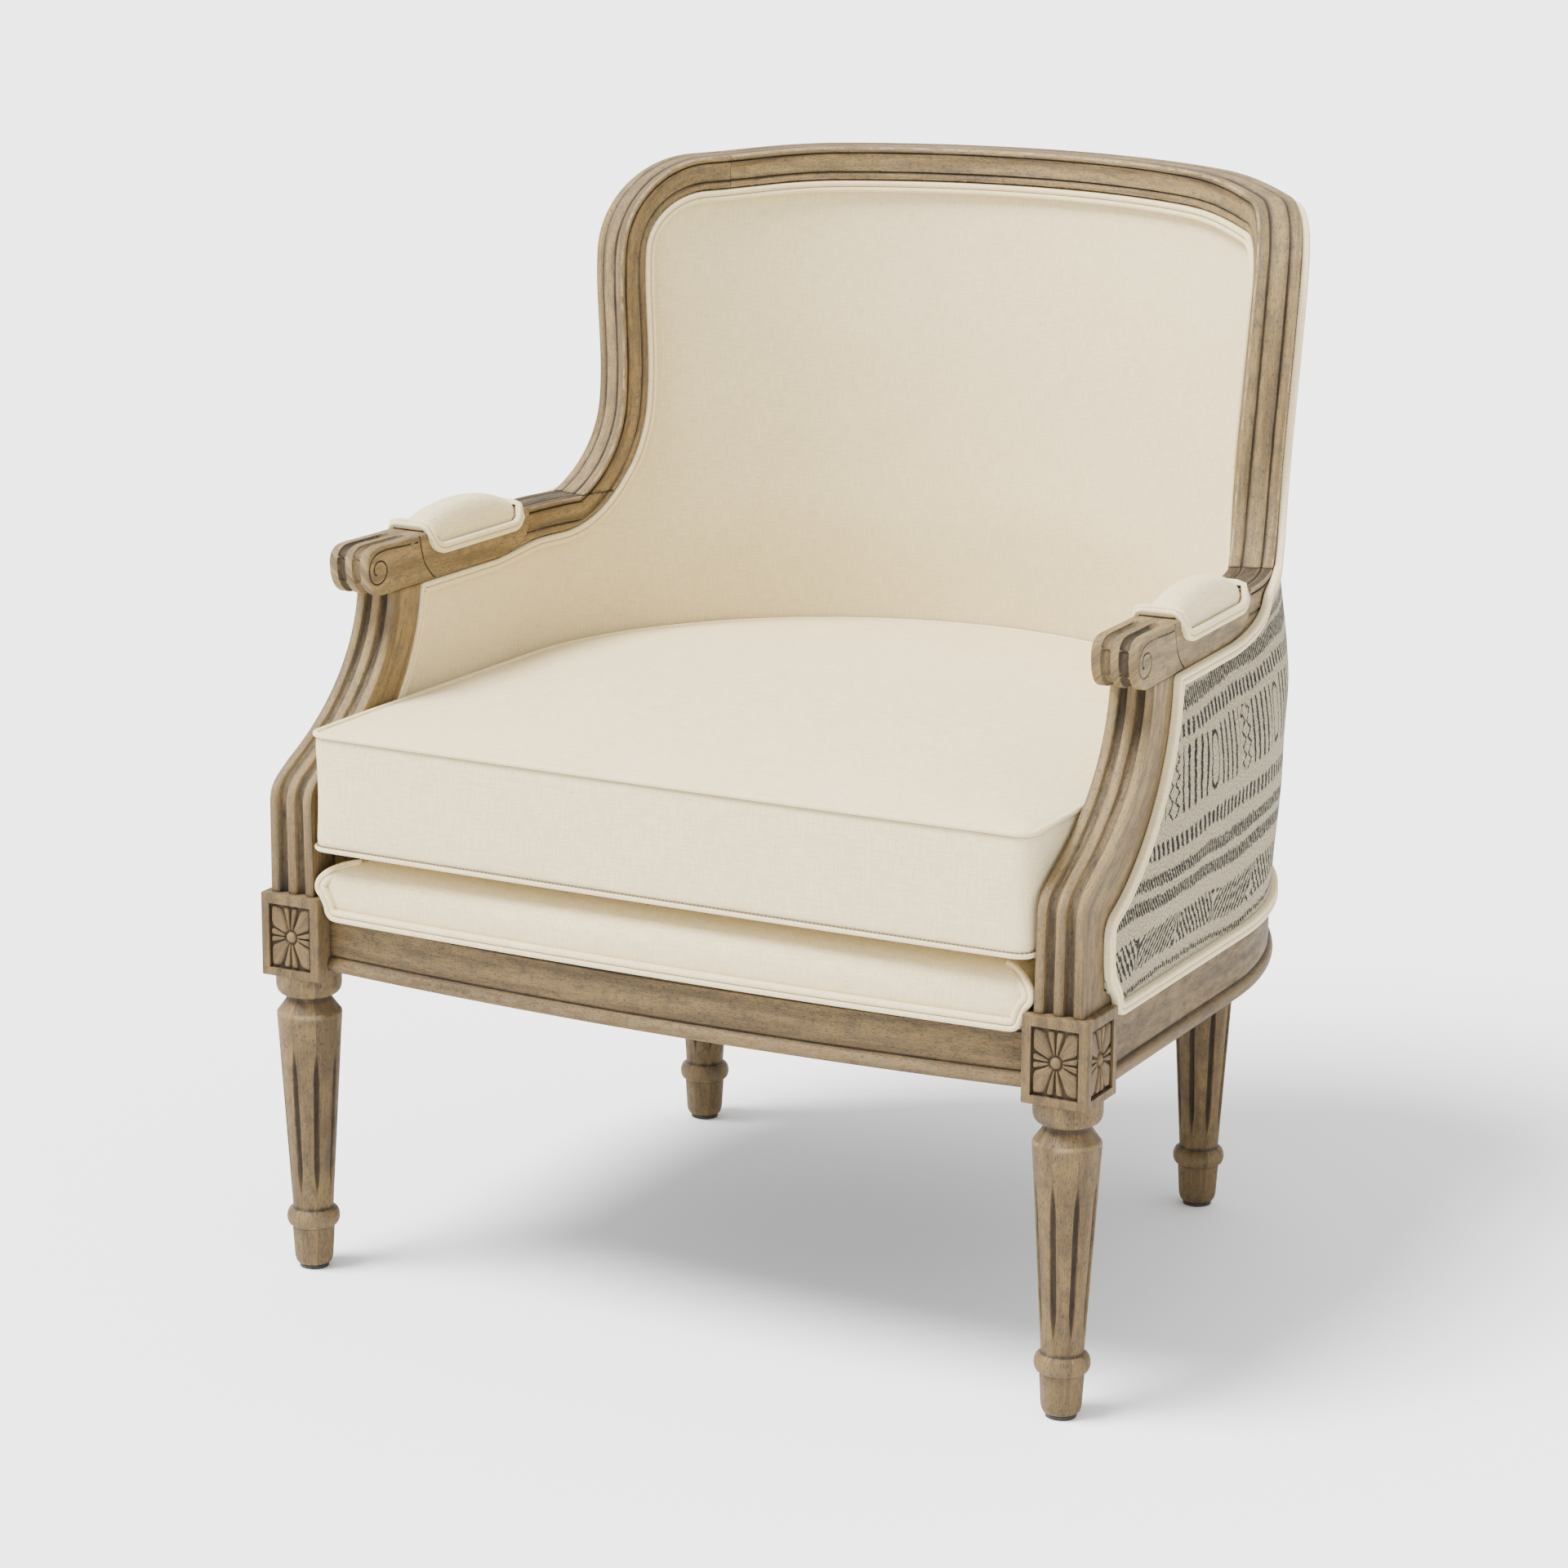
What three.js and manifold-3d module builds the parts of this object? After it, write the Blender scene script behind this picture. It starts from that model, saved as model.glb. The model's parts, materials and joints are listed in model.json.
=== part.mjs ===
// A gondola bergere: a carved wooden frame with four turned legs, a horseshoe back that runs
// into scrolled arms, an upholstered inside and outside, padded arms and a loose box cushion.
// Millimetres, +Z up, the front of the chair towards -Y and its right-hand arm (as seen
// from the front) towards +X. The origin is on the floor, in the middle of the bounding box.

import * as THREE from 'three';
import { mergeVertices } from 'three/addons/utils/BufferGeometryUtils.js';
import Module from 'manifold-3d';

const wasm = await Module();
wasm.setup();

// Clearances
const gap = 0.3;
const skinGap = 1.2;
const overrun = 3;
const tenonPlay = 0.4;

// The horseshoe seen from above. Heights between the seat and the arms blend from the seat
// rail's plan to the tighter plan of the arms and back, which then leans backwards.
const plan = {
  seatRadius: 356,
  seatCentre: 272,
  seatHeight: 307,
  backTaper: 9,
  backShift: 5,
  backHeight: 545,
  bendTaper: 56,
};
const backRadius = plan.seatRadius - plan.backTaper;
const backCentre = plan.seatCentre + plan.backShift;
const bendRadius = plan.seatRadius - plan.bendTaper;
const elbowAngle = THREE.MathUtils.degToRad(16.8);
const toeAngle = THREE.MathUtils.degToRad(2);
const leanShare = 0.154;

// Front legs: a square block over a turned and fluted shaft. The rear legs have no block.
const leg = {
  frontInset: 20,
  rearInset: 31.8,
  block: 54,
  blockBottom: 252,
  blockTop: 321,
  collarRadius: 26.6,
  collarHeight: 11,
  neckRadius: 18.8,
  neckBottom: 229,
  neckTop: 232,
  shoulderRadius: 26.4,
  shoulderHeight: 219.5,
  shaftRadius: 25.3,
  shaftTop: 212,
  ankleRadius: 16.6,
  ankleHeight: 54.5,
  ringRadius: 21.5,
  ringTop: 51,
  ringBottom: 36,
  footTopRadius: 17.2,
  footRadius: 15.7,
  footHeight: 9,
  soleRadius: 12.5,
};
const rearLegAngle = THREE.MathUtils.degToRad(42.25);
const flute = { count: 8, bottom: 66, top: 188, width: 4.8, point: 12 };
const glide = { thickness: 3, radius: 12, pinRadius: 1.6, pinLength: 14 };
const rearTenon = { radius: 10, length: 26 };

// Sunk panel with a rosette on the front and outer face of each front block
const panel = { sideBorder: 7.5, topBorder: 8.5, bottomBorder: 7, depth: 3.4 };
const rosette = { petals: 12, buttonRadius: 4.2, buttonGap: 1.6, petalHeight: 2, buttonHeight: 3, rim: 1.4 };
const petalFillShare = 0.85;

// Seat rails
const rail = {
  bottom: 258,
  ledge: 306,
  depth: 52,
  wall: 24,
  bead: 4,
  beadHeight: 11.5,
  beadRound: 2.5,
};
const sideRailEndAngle = THREE.MathUtils.degToRad(52);
const frontRail = { face: 10, bow: 18, back: 22, groove: 1.2, grooveHeight: 1.6 };
const railTenon = { thickness: 12, height: 30, bottom: 267, length: 16, sideLength: 14, frontSet: 4 };
const railTongue = { length: 32, inset: 16, thickness: 16, bottom: 268, height: 28 };

// Arm posts, which sweep back from the blocks and rise into the arms
const post = {
  width: 40,
  topWidth: 36,
  front: 22,
  rear: 12,
  kneeBottom: 395,
  kneeFront: 5,
  kneeTop: 425,
  topFront: 104,
  topRear: 142,
  heelBottom: 370,
  heelRear: 24,
  heelTop: 392,
  reeds: 3,
  coveDepth: 5,
  flange: 20,
  tenonWidth: 16,
  tenonDepth: 20,
  tenonLength: 19,
  tenonSet: 14,
};

// Arms, with a scroll at the front, a seat for the pad and a tongue underneath that the
// upholstery is tacked to
const arm = {
  depth: 36,
  bottom: 547,
  frontHeight: 40,
  scrollFront: 67.5,
  scrollTopStart: 95,
  scrollChinStart: 92,
  scrollMiddleRise: 25,
  scrollEnd: 140,
  padStart: 154,
  padEnd: 292,
  padSeatRise: 20,
  scoopFront: 22,
  scoopRear: 14,
  tongueHeight: 27,
  tongueStart: 164,
  tongueEndSet: 5.75,
  tenonLength: 15,
};
const armTop = arm.bottom + arm.frontHeight;
const armPadSeat = arm.bottom + arm.padSeatRise;

// Edge of the frame, unrolled: its points lie out from the elbow along the horseshoe
const rim = {
  jointRise: 35,
  crestHeight: 865,
  cornerDrop: 6,
  shoulderDrop: 80,
  waistOut: 44.25,
  shoulderOut: 30.25,
  cornerOut: 122.25,
  splitOut: 143.25,
  crestOut: 258.25,
};
const waistShare = 0.36;
const jointHeight = arm.bottom + rim.jointRise;
const band = {
  width: 28,
  depth: 36,
  edgeReed: 8.6,
  grooveWidth: 2,
  grooveDepth: 1.5,
  tongueWidth: 22,
  tongueDepth: 24,
};

// Hidden uprights between the seat rails and the arms and crest
const upright = {
  width: 40,
  tenonWidth: 24,
  tenonLength: 12,
  tenonThickness: 10,
  elbowSet: 51.75,
  backOut: 264.25,
};
const dowel = { radius: 4.5, length: 40 };

// Upholstery
const lining = { edgeDepth: 31.5, fullDepth: 37.6, swellReach: 90 };
const swellStart = 48;
const cover = { bottom: 305, edgeThickness: 1.6, edgeSet: 5, lowSwell: 8, highSwell: 15.5, swellReach: 60 };
const coverPeak = { drop: 17, spread: 75 };
const coverCorner = { underArm: 262, riseStart: 313, rise: 7, end: 348, endRise: 27 };
const welt = { width: 9.5, thickness: 5, valley: 3.2 };
const outerWeltBottom = 309;
const innerWeltBottom = 365;
const weltLift = 1;

// Seat platform and cushion
const web = { width: 50, thickness: 2, start: 4, pitch: 118, crossStart: 120, crossPitch: 138, inset: 27 };
const deck = { top: 360.7, front: 8, bow: 18, inset: 40, blockClear: 0.6 };
const deckWelt = { height: 8, thickness: 4.6, rise: 24, riseRun: 18, endClear: 0.6 };
const cushion = {
  bottom: 361,
  top: 457,
  crown: 22,
  front: 27,
  bow: 3,
  sideClear: 1,
  inset: 39.4,
  cornerRadius: 16,
  cord: 2.6,
  cordHeight: 3,
  tuck: 2.5,
  edgeRound: 6,
};
const crownShares = [0.94, 0.85, 0.7, 0.5, 0.25];

// Arm pads
const pad = { crownRise: 21, edgeHeight: 9, sideSet: 0.5, endSet: 3.6 };
const padWelt = { radius: 3.6, sideRise: 4.6 };

// Corner blocks, screws and the dust cover
const cornerBlock = { reach: 58, nose: 14, bottom: 266, height: 32, rearSpan: 34, rearDepth: 26 };
const screw = { shankRadius: 2, headRadius: 4, headHeight: 2.5, length: 38, play: 0.3, setIn: 20 };
const dustCover = { thickness: 1.2, inset: 40, frontSet: 4, legPlay: 1 };

// Materials
const materials = {
  wood: new THREE.MeshStandardMaterial({ color: 0xb3a083, roughness: 0.7, metalness: 0 }),
  beech: new THREE.MeshStandardMaterial({ color: 0xc7a878, roughness: 0.75, metalness: 0 }),
  canvas: new THREE.MeshStandardMaterial({ color: 0xe4dcc6, roughness: 0.95, metalness: 0 }),
  woven: new THREE.MeshStandardMaterial({ color: 0x8f8a80, roughness: 0.95, metalness: 0 }),
  webbing: new THREE.MeshStandardMaterial({ color: 0x9c8158, roughness: 0.95, metalness: 0 }),
  dustCloth: new THREE.MeshStandardMaterial({ color: 0x2b2b2b, roughness: 0.95, metalness: 0 }),
  steel: new THREE.MeshStandardMaterial({ color: 0x9a9a98, roughness: 0.4, metalness: 0.9 }),
  nylon: new THREE.MeshStandardMaterial({ color: 0x262626, roughness: 0.6, metalness: 0 }),
};

// Sizes that follow from the ones above
const elbowStation = backRadius * elbowAngle;
const bendLength = bendRadius * (elbowAngle - toeAngle);
const straightStation = elbowStation - bendLength;
const backStation = backRadius * Math.PI / 2;
const splitStation = elbowStation + rim.splitOut;
const legX = plan.seatRadius - leg.frontInset;
const rearLegRadius = plan.seatRadius - leg.rearInset;
const rearLegX = rearLegRadius * Math.cos(rearLegAngle);
const rearLegY = plan.seatCentre + rearLegRadius * Math.sin(rearLegAngle);
const halfBlock = leg.block / 2;
const blockInner = legX - halfBlock;
const seatBase = rail.ledge + 2 * web.thickness + 3 * gap;
const coverSkin = skinGap + cover.edgeThickness;

// Solids and booleans

function signedVolume(positions, triangles) {
  const a = new THREE.Vector3();
  const b = new THREE.Vector3();
  const c = new THREE.Vector3();
  let total = 0;
  for (let i = 0; i < triangles.length; i += 3) {
    a.copy(positions[triangles[i]]);
    b.copy(positions[triangles[i + 1]]);
    c.copy(positions[triangles[i + 2]]);
    total += a.dot(b.cross(c));
  }
  return total;
}

function closedGeometry(positions, triangles) {
  const order = [...triangles];
  if (signedVolume(positions, order) < 0) order.reverse();
  const geometry = new THREE.BufferGeometry();
  const numbers = positions.flatMap((p) => p.toArray());
  geometry.setAttribute('position', new THREE.Float32BufferAttribute(numbers, 3));
  geometry.setIndex(order);
  return geometry;
}

function welded(geometry) {
  const bare = geometry.clone();
  bare.deleteAttribute('normal');
  bare.deleteAttribute('uv');
  return mergeVertices(bare);
}

function toSolid(geometry) {
  const bare = welded(geometry);
  return new wasm.Manifold(new wasm.Mesh({
    numProp: 3,
    vertProperties: new Float32Array(bare.getAttribute('position').array),
    triVerts: new Uint32Array(bare.getIndex().array),
  }));
}

function fromSolid(solid) {
  const mesh = solid.getMesh();
  const geometry = new THREE.BufferGeometry();
  geometry.setAttribute('position', new THREE.BufferAttribute(new Float32Array(mesh.vertProperties), 3));
  geometry.setIndex(new THREE.BufferAttribute(new Uint32Array(mesh.triVerts), 1));
  return geometry;
}

function joined(geometry, ...others) {
  let solid = toSolid(geometry);
  for (const other of others) solid = solid.add(toSolid(other));
  return fromSolid(solid);
}

function cut(geometry, ...cutters) {
  let solid = toSolid(geometry);
  for (const cutter of cutters) solid = solid.subtract(toSolid(cutter));
  return fromSolid(solid);
}

function common(geometry, other) {
  return fromSolid(toSolid(geometry).intersect(toSolid(other)));
}

function mirrored(geometry) {
  const copy = welded(geometry);
  copy.scale(-1, 1, 1);
  const index = copy.getIndex().array;
  for (let i = 0; i < index.length; i += 3) {
    const first = index[i];
    index[i] = index[i + 1];
    index[i + 1] = first;
  }
  return copy;
}

// Closed rings of points joined along a run, with both ends capped unless the run closes
function loft(rings, section, closes = false) {
  const count = section.length;
  const positions = rings.flat();
  const triangles = [];
  const last = closes ? rings.length : rings.length - 1;
  for (let i = 0; i < last; i += 1) {
    const here = i * count;
    const next = ((i + 1) % rings.length) * count;
    for (let j = 0; j < count; j += 1) {
      const k = (j + 1) % count;
      triangles.push(here + j, next + j, next + k, here + j, next + k, here + k);
    }
  }
  if (!closes) {
    const end = (rings.length - 1) * count;
    for (const [a, b, c] of THREE.ShapeUtils.triangulateShape(section, [])) {
      triangles.push(a, b, c, end + a, end + c, end + b);
    }
  }
  return consistent(positions, triangles);
}

// Turns the caps round where they disagree with the sides
function consistent(positions, triangles) {
  const edges = new Map();
  const faces = [];
  const edgeKey = (from, to) => (from < to ? `${from}_${to}` : `${to}_${from}`);
  for (let i = 0; i < triangles.length; i += 3) faces.push(triangles.slice(i, i + 3));
  faces.forEach((face, f) => {
    face.forEach((from, e) => {
      const key = edgeKey(from, face[(e + 1) % 3]);
      if (!edges.has(key)) edges.set(key, []);
      edges.get(key).push(f);
    });
  });
  const runsAlong = (face, from, to) => face.some((p, e) => p === from && face[(e + 1) % 3] === to);
  const done = new Set([0]);
  const queue = [0];
  while (queue.length) {
    const face = faces[queue.pop()];
    face.forEach((from, e) => {
      const to = face[(e + 1) % 3];
      for (const other of edges.get(edgeKey(from, to))) {
        if (done.has(other)) continue;
        if (runsAlong(faces[other], from, to)) faces[other].reverse();
        done.add(other);
        queue.push(other);
      }
    });
  }
  return closedGeometry(positions, faces.flat());
}

// Flat plan outline raised from one height to another
function slabFromPlan(shape, bottom, top, curveSegments = 12) {
  const depth = top - bottom;
  const geometry = new THREE.ExtrudeGeometry(shape, { depth, bevelEnabled: false, curveSegments });
  geometry.translate(0, 0, bottom);
  return geometry;
}

function box(left, right, front, rear, bottom, top) {
  const geometry = new THREE.BoxGeometry(right - left, rear - front, top - bottom);
  geometry.translate((left + right) / 2, (front + rear) / 2, (bottom + top) / 2);
  return geometry;
}

function upCylinder(radius, bottom, top, sides = 16) {
  const geometry = new THREE.CylinderGeometry(radius, radius, top - bottom, sides);
  geometry.rotateX(Math.PI / 2);
  geometry.translate(0, 0, (bottom + top) / 2);
  return geometry;
}

function rodBetween(from, to, radius, sides = 8) {
  const run = new THREE.Vector3().subVectors(to, from);
  const geometry = new THREE.CylinderGeometry(radius, radius, run.length(), sides);
  geometry.translate(0, run.length() / 2, 0);
  const turn = new THREE.Quaternion().setFromUnitVectors(new THREE.Vector3(0, 1, 0), run.clone().normalize());
  geometry.applyQuaternion(turn);
  geometry.translate(from.x, from.y, from.z);
  return geometry;
}

// The horseshoe

const mix = THREE.MathUtils.lerp;

function planAt(height) {
  const share = THREE.MathUtils.clamp((height - plan.seatHeight) / (plan.backHeight - plan.seatHeight), 0, 1);
  const lean = Math.max(height - plan.backHeight, 0) * leanShare;
  return {
    radius: mix(plan.seatRadius, backRadius, share),
    centre: mix(plan.seatCentre, backCentre, share) + lean,
    bend: mix(plan.seatRadius, bendRadius, share),
    toe: toeAngle * share,
  };
}

// A point on the horseshoe: station along it, height, and depth inwards from its outer face
function wallPoint(station, height, depth) {
  const { radius, centre, bend, toe } = planAt(height);
  const near = Math.min(station, 2 * backStation - station);
  const side = station > backStation ? -1 : 1;
  let angle = near / backRadius;
  let x = radius * Math.cos(angle);
  let y = radius * Math.sin(angle);
  if (near < elbowStation) {
    const turn = Math.min((elbowStation - near) / bendLength, 1);
    const run = Math.max(straightStation - near, 0);
    angle = mix(elbowAngle, toe, turn);
    x = (radius - bend) * Math.cos(elbowAngle) + bend * Math.cos(angle) + run * Math.sin(angle);
    y = (radius - bend) * Math.sin(elbowAngle) + bend * Math.sin(angle) - run * Math.cos(angle);
  }
  x -= depth * Math.cos(angle);
  y -= depth * Math.sin(angle);
  return new THREE.Vector3(side * x, centre + y, height);
}

function stationAt(y, height) {
  const start = wallPoint(straightStation, height, 0);
  return straightStation - (start.y - y) / Math.cos(planAt(height).toe);
}

function outerX(y, height) {
  return wallPoint(stationAt(y, height), height, 0).x;
}

function steps(from, to, count) {
  return Array.from({ length: count + 1 }, (_, i) => mix(from, to, i / count));
}

// A curved plate between two stations, two heights and two depths
function wallSlab(from, to, bottom, top, near, far, columns = 2) {
  const section = [
    new THREE.Vector2(bottom, near),
    new THREE.Vector2(top, near),
    new THREE.Vector2(top, far),
    new THREE.Vector2(bottom, far),
  ];
  return loft(steps(from, to, columns).map((s) => section.map((p) => wallPoint(s, p.x, p.y))), section);
}

// A post in the wall of the horseshoe, standing through the given heights
function wallPost(from, to, heights, far) {
  const middle = (from + to) / 2;
  const section = [[from, 0], [middle, 0], [to, 0], [to, far], [middle, far], [from, far]]
    .map(([station, depth]) => new THREE.Vector2(station, depth));
  return loft(heights.map((z) => section.map((p) => wallPoint(p.x, z, p.y))), section);
}

// Lines in the unrolled plane

// For each point of a line, the step that moves it one unit to the right of its travel
function rightSteps(points, closes = false) {
  const count = points.length;
  const direction = (i, j) => new THREE.Vector2().subVectors(points[j], points[i]).normalize();
  return points.map((_, i) => {
    const before = closes || i > 0 ? direction((i - 1 + count) % count, i) : direction(i, i + 1);
    const after = closes || i < count - 1 ? direction(i, (i + 1) % count) : before;
    const a = new THREE.Vector2(before.y, -before.x);
    const b = new THREE.Vector2(after.y, -after.x);
    const middle = a.clone().add(b).normalize();
    return middle.divideScalar(Math.max(middle.dot(a), 0.5));
  });
}

function movedRight(points, distance, closes = false) {
  const moves = rightSteps(points, closes);
  return points.map((p, i) => p.clone().addScaledVector(moves[i], distance));
}

function distanceTo(points, p) {
  let best = Infinity;
  const along = new THREE.Vector2();
  const to = new THREE.Vector2();
  for (let i = 0; i + 1 < points.length; i += 1) {
    along.subVectors(points[i + 1], points[i]);
    to.subVectors(p, points[i]);
    const share = THREE.MathUtils.clamp(to.dot(along) / along.lengthSq(), 0, 1);
    best = Math.min(best, to.addScaledVector(along, -share).length());
  }
  return best;
}

// The x or y of a line where its other coordinate has a given value
function crossing(points, value, known, wanted) {
  for (let i = 0; i + 1 < points.length; i += 1) {
    const a = points[i];
    const b = points[i + 1];
    const low = Math.min(a[known], b[known]);
    const high = Math.max(a[known], b[known]);
    if (value >= low && value <= high && high > low) {
      return mix(a[wanted], b[wanted], (value - a[known]) / (b[known] - a[known]));
    }
  }
  const first = points[0];
  const last = points[points.length - 1];
  const nearer = Math.abs(value - first[known]) < Math.abs(value - last[known]) ? first : last;
  return nearer[wanted];
}

// Outer edge of the frame, from the elbow up the stile and along the crest to the middle
function rimCurves() {
  const elbow = new THREE.Vector2(elbowStation, jointHeight);
  const at = (out, drop) => new THREE.Vector2(elbowStation + out, rim.crestHeight - drop);
  const shoulder = at(rim.shoulderOut, rim.shoulderDrop);
  const corner = at(rim.cornerOut, rim.cornerDrop);
  const crest = at(rim.crestOut, 0);
  const waist = at(rim.waistOut, 0).setY(mix(elbow.y, shoulder.y, waistShare));
  const between = (a, b, shareX, shareY) => new THREE.Vector2(mix(a.x, b.x, shareX), mix(a.y, b.y, shareY));
  return [
    new THREE.CubicBezierCurve(
      elbow, between(elbow, waist, 0.64, 0.2), between(elbow, waist, 1, 0.59), waist),
    new THREE.CubicBezierCurve(
      waist, between(waist, shoulder, 0, 0.35), between(waist, shoulder, 1, 0.69), shoulder),
    new THREE.EllipseCurve(
      corner.x, shoulder.y, corner.x - shoulder.x, corner.y - shoulder.y, Math.PI, Math.PI / 2, true),
    new THREE.CubicBezierCurve(
      corner, between(corner, crest, 0.34, 0.17), between(corner, crest, 0.56, 1), crest),
    new THREE.LineCurve(crest, new THREE.Vector2(backStation, rim.crestHeight)),
  ];
}

const rimDivisionCounts = [3, 2, 4, 4, 6];

// Rim points from the elbow to the middle of the crest, with the point just before the elbow
function rimLine() {
  const points = [new THREE.Vector2(straightStation, jointHeight)];
  rimCurves().forEach((curve, i) => {
    const samples = curve.getPoints(rimDivisionCounts[i]);
    points.push(...(i === 0 ? samples : samples.slice(1)));
  });
  return points;
}

const cornerMiddle = 1 + rimDivisionCounts[0] + rimDivisionCounts[1] + rimDivisionCounts[2] / 2;

// Lower edge of the arm and inner edge of the stile and crest, moved further in by a clearance
function innerEdge(clear) {
  const edge = movedRight(rimLine(), band.width + clear).slice(1);
  const mitre = edge[0];
  const underside = arm.bottom - clear;
  return [new THREE.Vector2(mitre.x - (mitre.y - underside), underside), ...edge];
}

// Rear edge of the post in side view, from its foot to the arm
function postRear() {
  const foot = new THREE.Vector2(post.rear, leg.blockTop + gap);
  const heel = new THREE.Vector2(post.rear, post.heelBottom);
  const bend = new THREE.Vector2(post.heelRear, post.heelTop);
  const top = new THREE.Vector2(post.topRear, arm.bottom - gap);
  const low = new THREE.CubicBezierCurve(
    heel,
    new THREE.Vector2(heel.x, mix(heel.y, bend.y, 0.55)),
    new THREE.Vector2(mix(heel.x, bend.x, 0.33), mix(heel.y, bend.y, 0.82)),
    bend,
  );
  const high = new THREE.CubicBezierCurve(
    bend,
    new THREE.Vector2(mix(bend.x, top.x, 0.45), mix(bend.y, top.y, 0.14)),
    new THREE.Vector2(mix(bend.x, top.x, 0.966), mix(bend.y, top.y, 0.55)),
    top,
  );
  return [foot, ...low.getPoints(2), ...high.getPoints(4).slice(1)];
}

function postFront() {
  const foot = new THREE.Vector2(-post.front, leg.blockTop + gap);
  const knee = new THREE.Vector2(-post.front, post.kneeBottom);
  const bend = new THREE.Vector2(post.kneeFront, post.kneeTop);
  const top = new THREE.Vector2(post.topFront, arm.bottom - gap);
  const low = new THREE.CubicBezierCurve(
    knee,
    new THREE.Vector2(knee.x, mix(knee.y, bend.y, 0.57)),
    new THREE.Vector2(mix(knee.x, bend.x, 0.52), mix(knee.y, bend.y, 0.7)),
    bend,
  );
  const high = new THREE.CubicBezierCurve(
    bend,
    new THREE.Vector2(mix(bend.x, top.x, 0.43), mix(bend.y, top.y, 0.17)),
    new THREE.Vector2(mix(bend.x, top.x, 0.95), mix(bend.y, top.y, 0.49)),
    top,
  );
  return [foot, ...low.getPoints(2), ...high.getPoints(4).slice(1)];
}

// Front edge of the upholstered sides, unrolled: it clears the block, then follows the post
function postEdge(bottom, clear, roof) {
  const blockRear = halfBlock + 2 * clear;
  const overBlock = leg.blockTop + 2 * clear;
  const side = [new THREE.Vector2(blockRear, bottom), new THREE.Vector2(blockRear, overBlock)];
  const rear = postRear();
  const top = rear[rear.length - 1];
  const shifted = movedRight(rear, clear).slice(1, -1);
  side.push(new THREE.Vector2(post.rear + clear, overBlock + clear));
  side.push(...shifted, new THREE.Vector2(top.x + clear, roof));
  return side.map((p) => new THREE.Vector2(stationAt(p.x, p.y), p.y));
}

// Upholstered shells

// A patch between four edges, each a list of points in the unrolled plane
function patch(bottom, top, left, right, rise) {
  const columns = bottom.length - 1;
  const grid = [];
  for (const [i, v] of rise.entries()) {
    grid.push([]);
    for (let j = 0; j <= columns; j += 1) {
      const u = j / columns;
      const p = new THREE.Vector2();
      p.addScaledVector(bottom[j], 1 - v).addScaledVector(top[j], v);
      p.addScaledVector(left[i], 1 - u).addScaledVector(right[i], u);
      p.addScaledVector(bottom[0], -(1 - u) * (1 - v)).addScaledVector(bottom[columns], -u * (1 - v));
      p.addScaledVector(top[0], -(1 - u) * v).addScaledVector(top[columns], -u * v);
      grid[i].push(p);
    }
  }
  return grid;
}

// Solid between a near and a far face over patches of the unrolled plane and their mirror images
function shell(grids, nearDepth, farDepth) {
  const keys = new Map();
  const flat = [];
  const cells = [];
  const vertex = (p) => {
    const key = `${p.x.toFixed(3)}_${p.y.toFixed(3)}`;
    if (!keys.has(key)) {
      keys.set(key, flat.length);
      flat.push(p);
    }
    return keys.get(key);
  };
  const acrossMiddle = (p) => new THREE.Vector2(2 * backStation - p.x, p.y);
  for (const grid of grids) {
    for (let i = 0; i + 1 < grid.length; i += 1) {
      for (let j = 0; j + 1 < grid[i].length; j += 1) {
        const quad = [grid[i][j], grid[i][j + 1], grid[i + 1][j + 1], grid[i + 1][j]];
        cells.push(quad.map(vertex));
        cells.push(quad.map(acrossMiddle).reverse().map(vertex));
      }
    }
  }
  const count = flat.length;
  const folded = (p) => new THREE.Vector2(Math.min(p.x, 2 * backStation - p.x), p.y);
  const near = flat.map((p) => wallPoint(p.x, p.y, nearDepth(folded(p))));
  const far = flat.map((p) => wallPoint(p.x, p.y, farDepth(folded(p))));
  const triangles = [];
  const open = new Map();
  for (const [a, b, c, d] of cells) {
    const split = flat[a].distanceTo(flat[c]) <= flat[b].distanceTo(flat[d]);
    for (const face of split ? [[a, b, c], [a, c, d]] : [[a, b, d], [b, c, d]]) {
      if (new Set(face).size < 3) continue;
      triangles.push(...face, face[0] + count, face[2] + count, face[1] + count);
      face.forEach((from, e) => {
        const to = face[(e + 1) % 3];
        if (open.has(`${to}_${from}`)) open.delete(`${to}_${from}`);
        else open.set(`${from}_${to}`, [from, to]);
      });
    }
  }
  for (const [from, to] of open.values()) {
    triangles.push(to, from, from + count, to, from + count, to + count);
  }
  return closedGeometry([...near, ...far], triangles);
}

// Columns and rows of the shells
const shellColumns = { bendCount: 2, cornerCount: 3, backCount: 6 };

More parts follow.
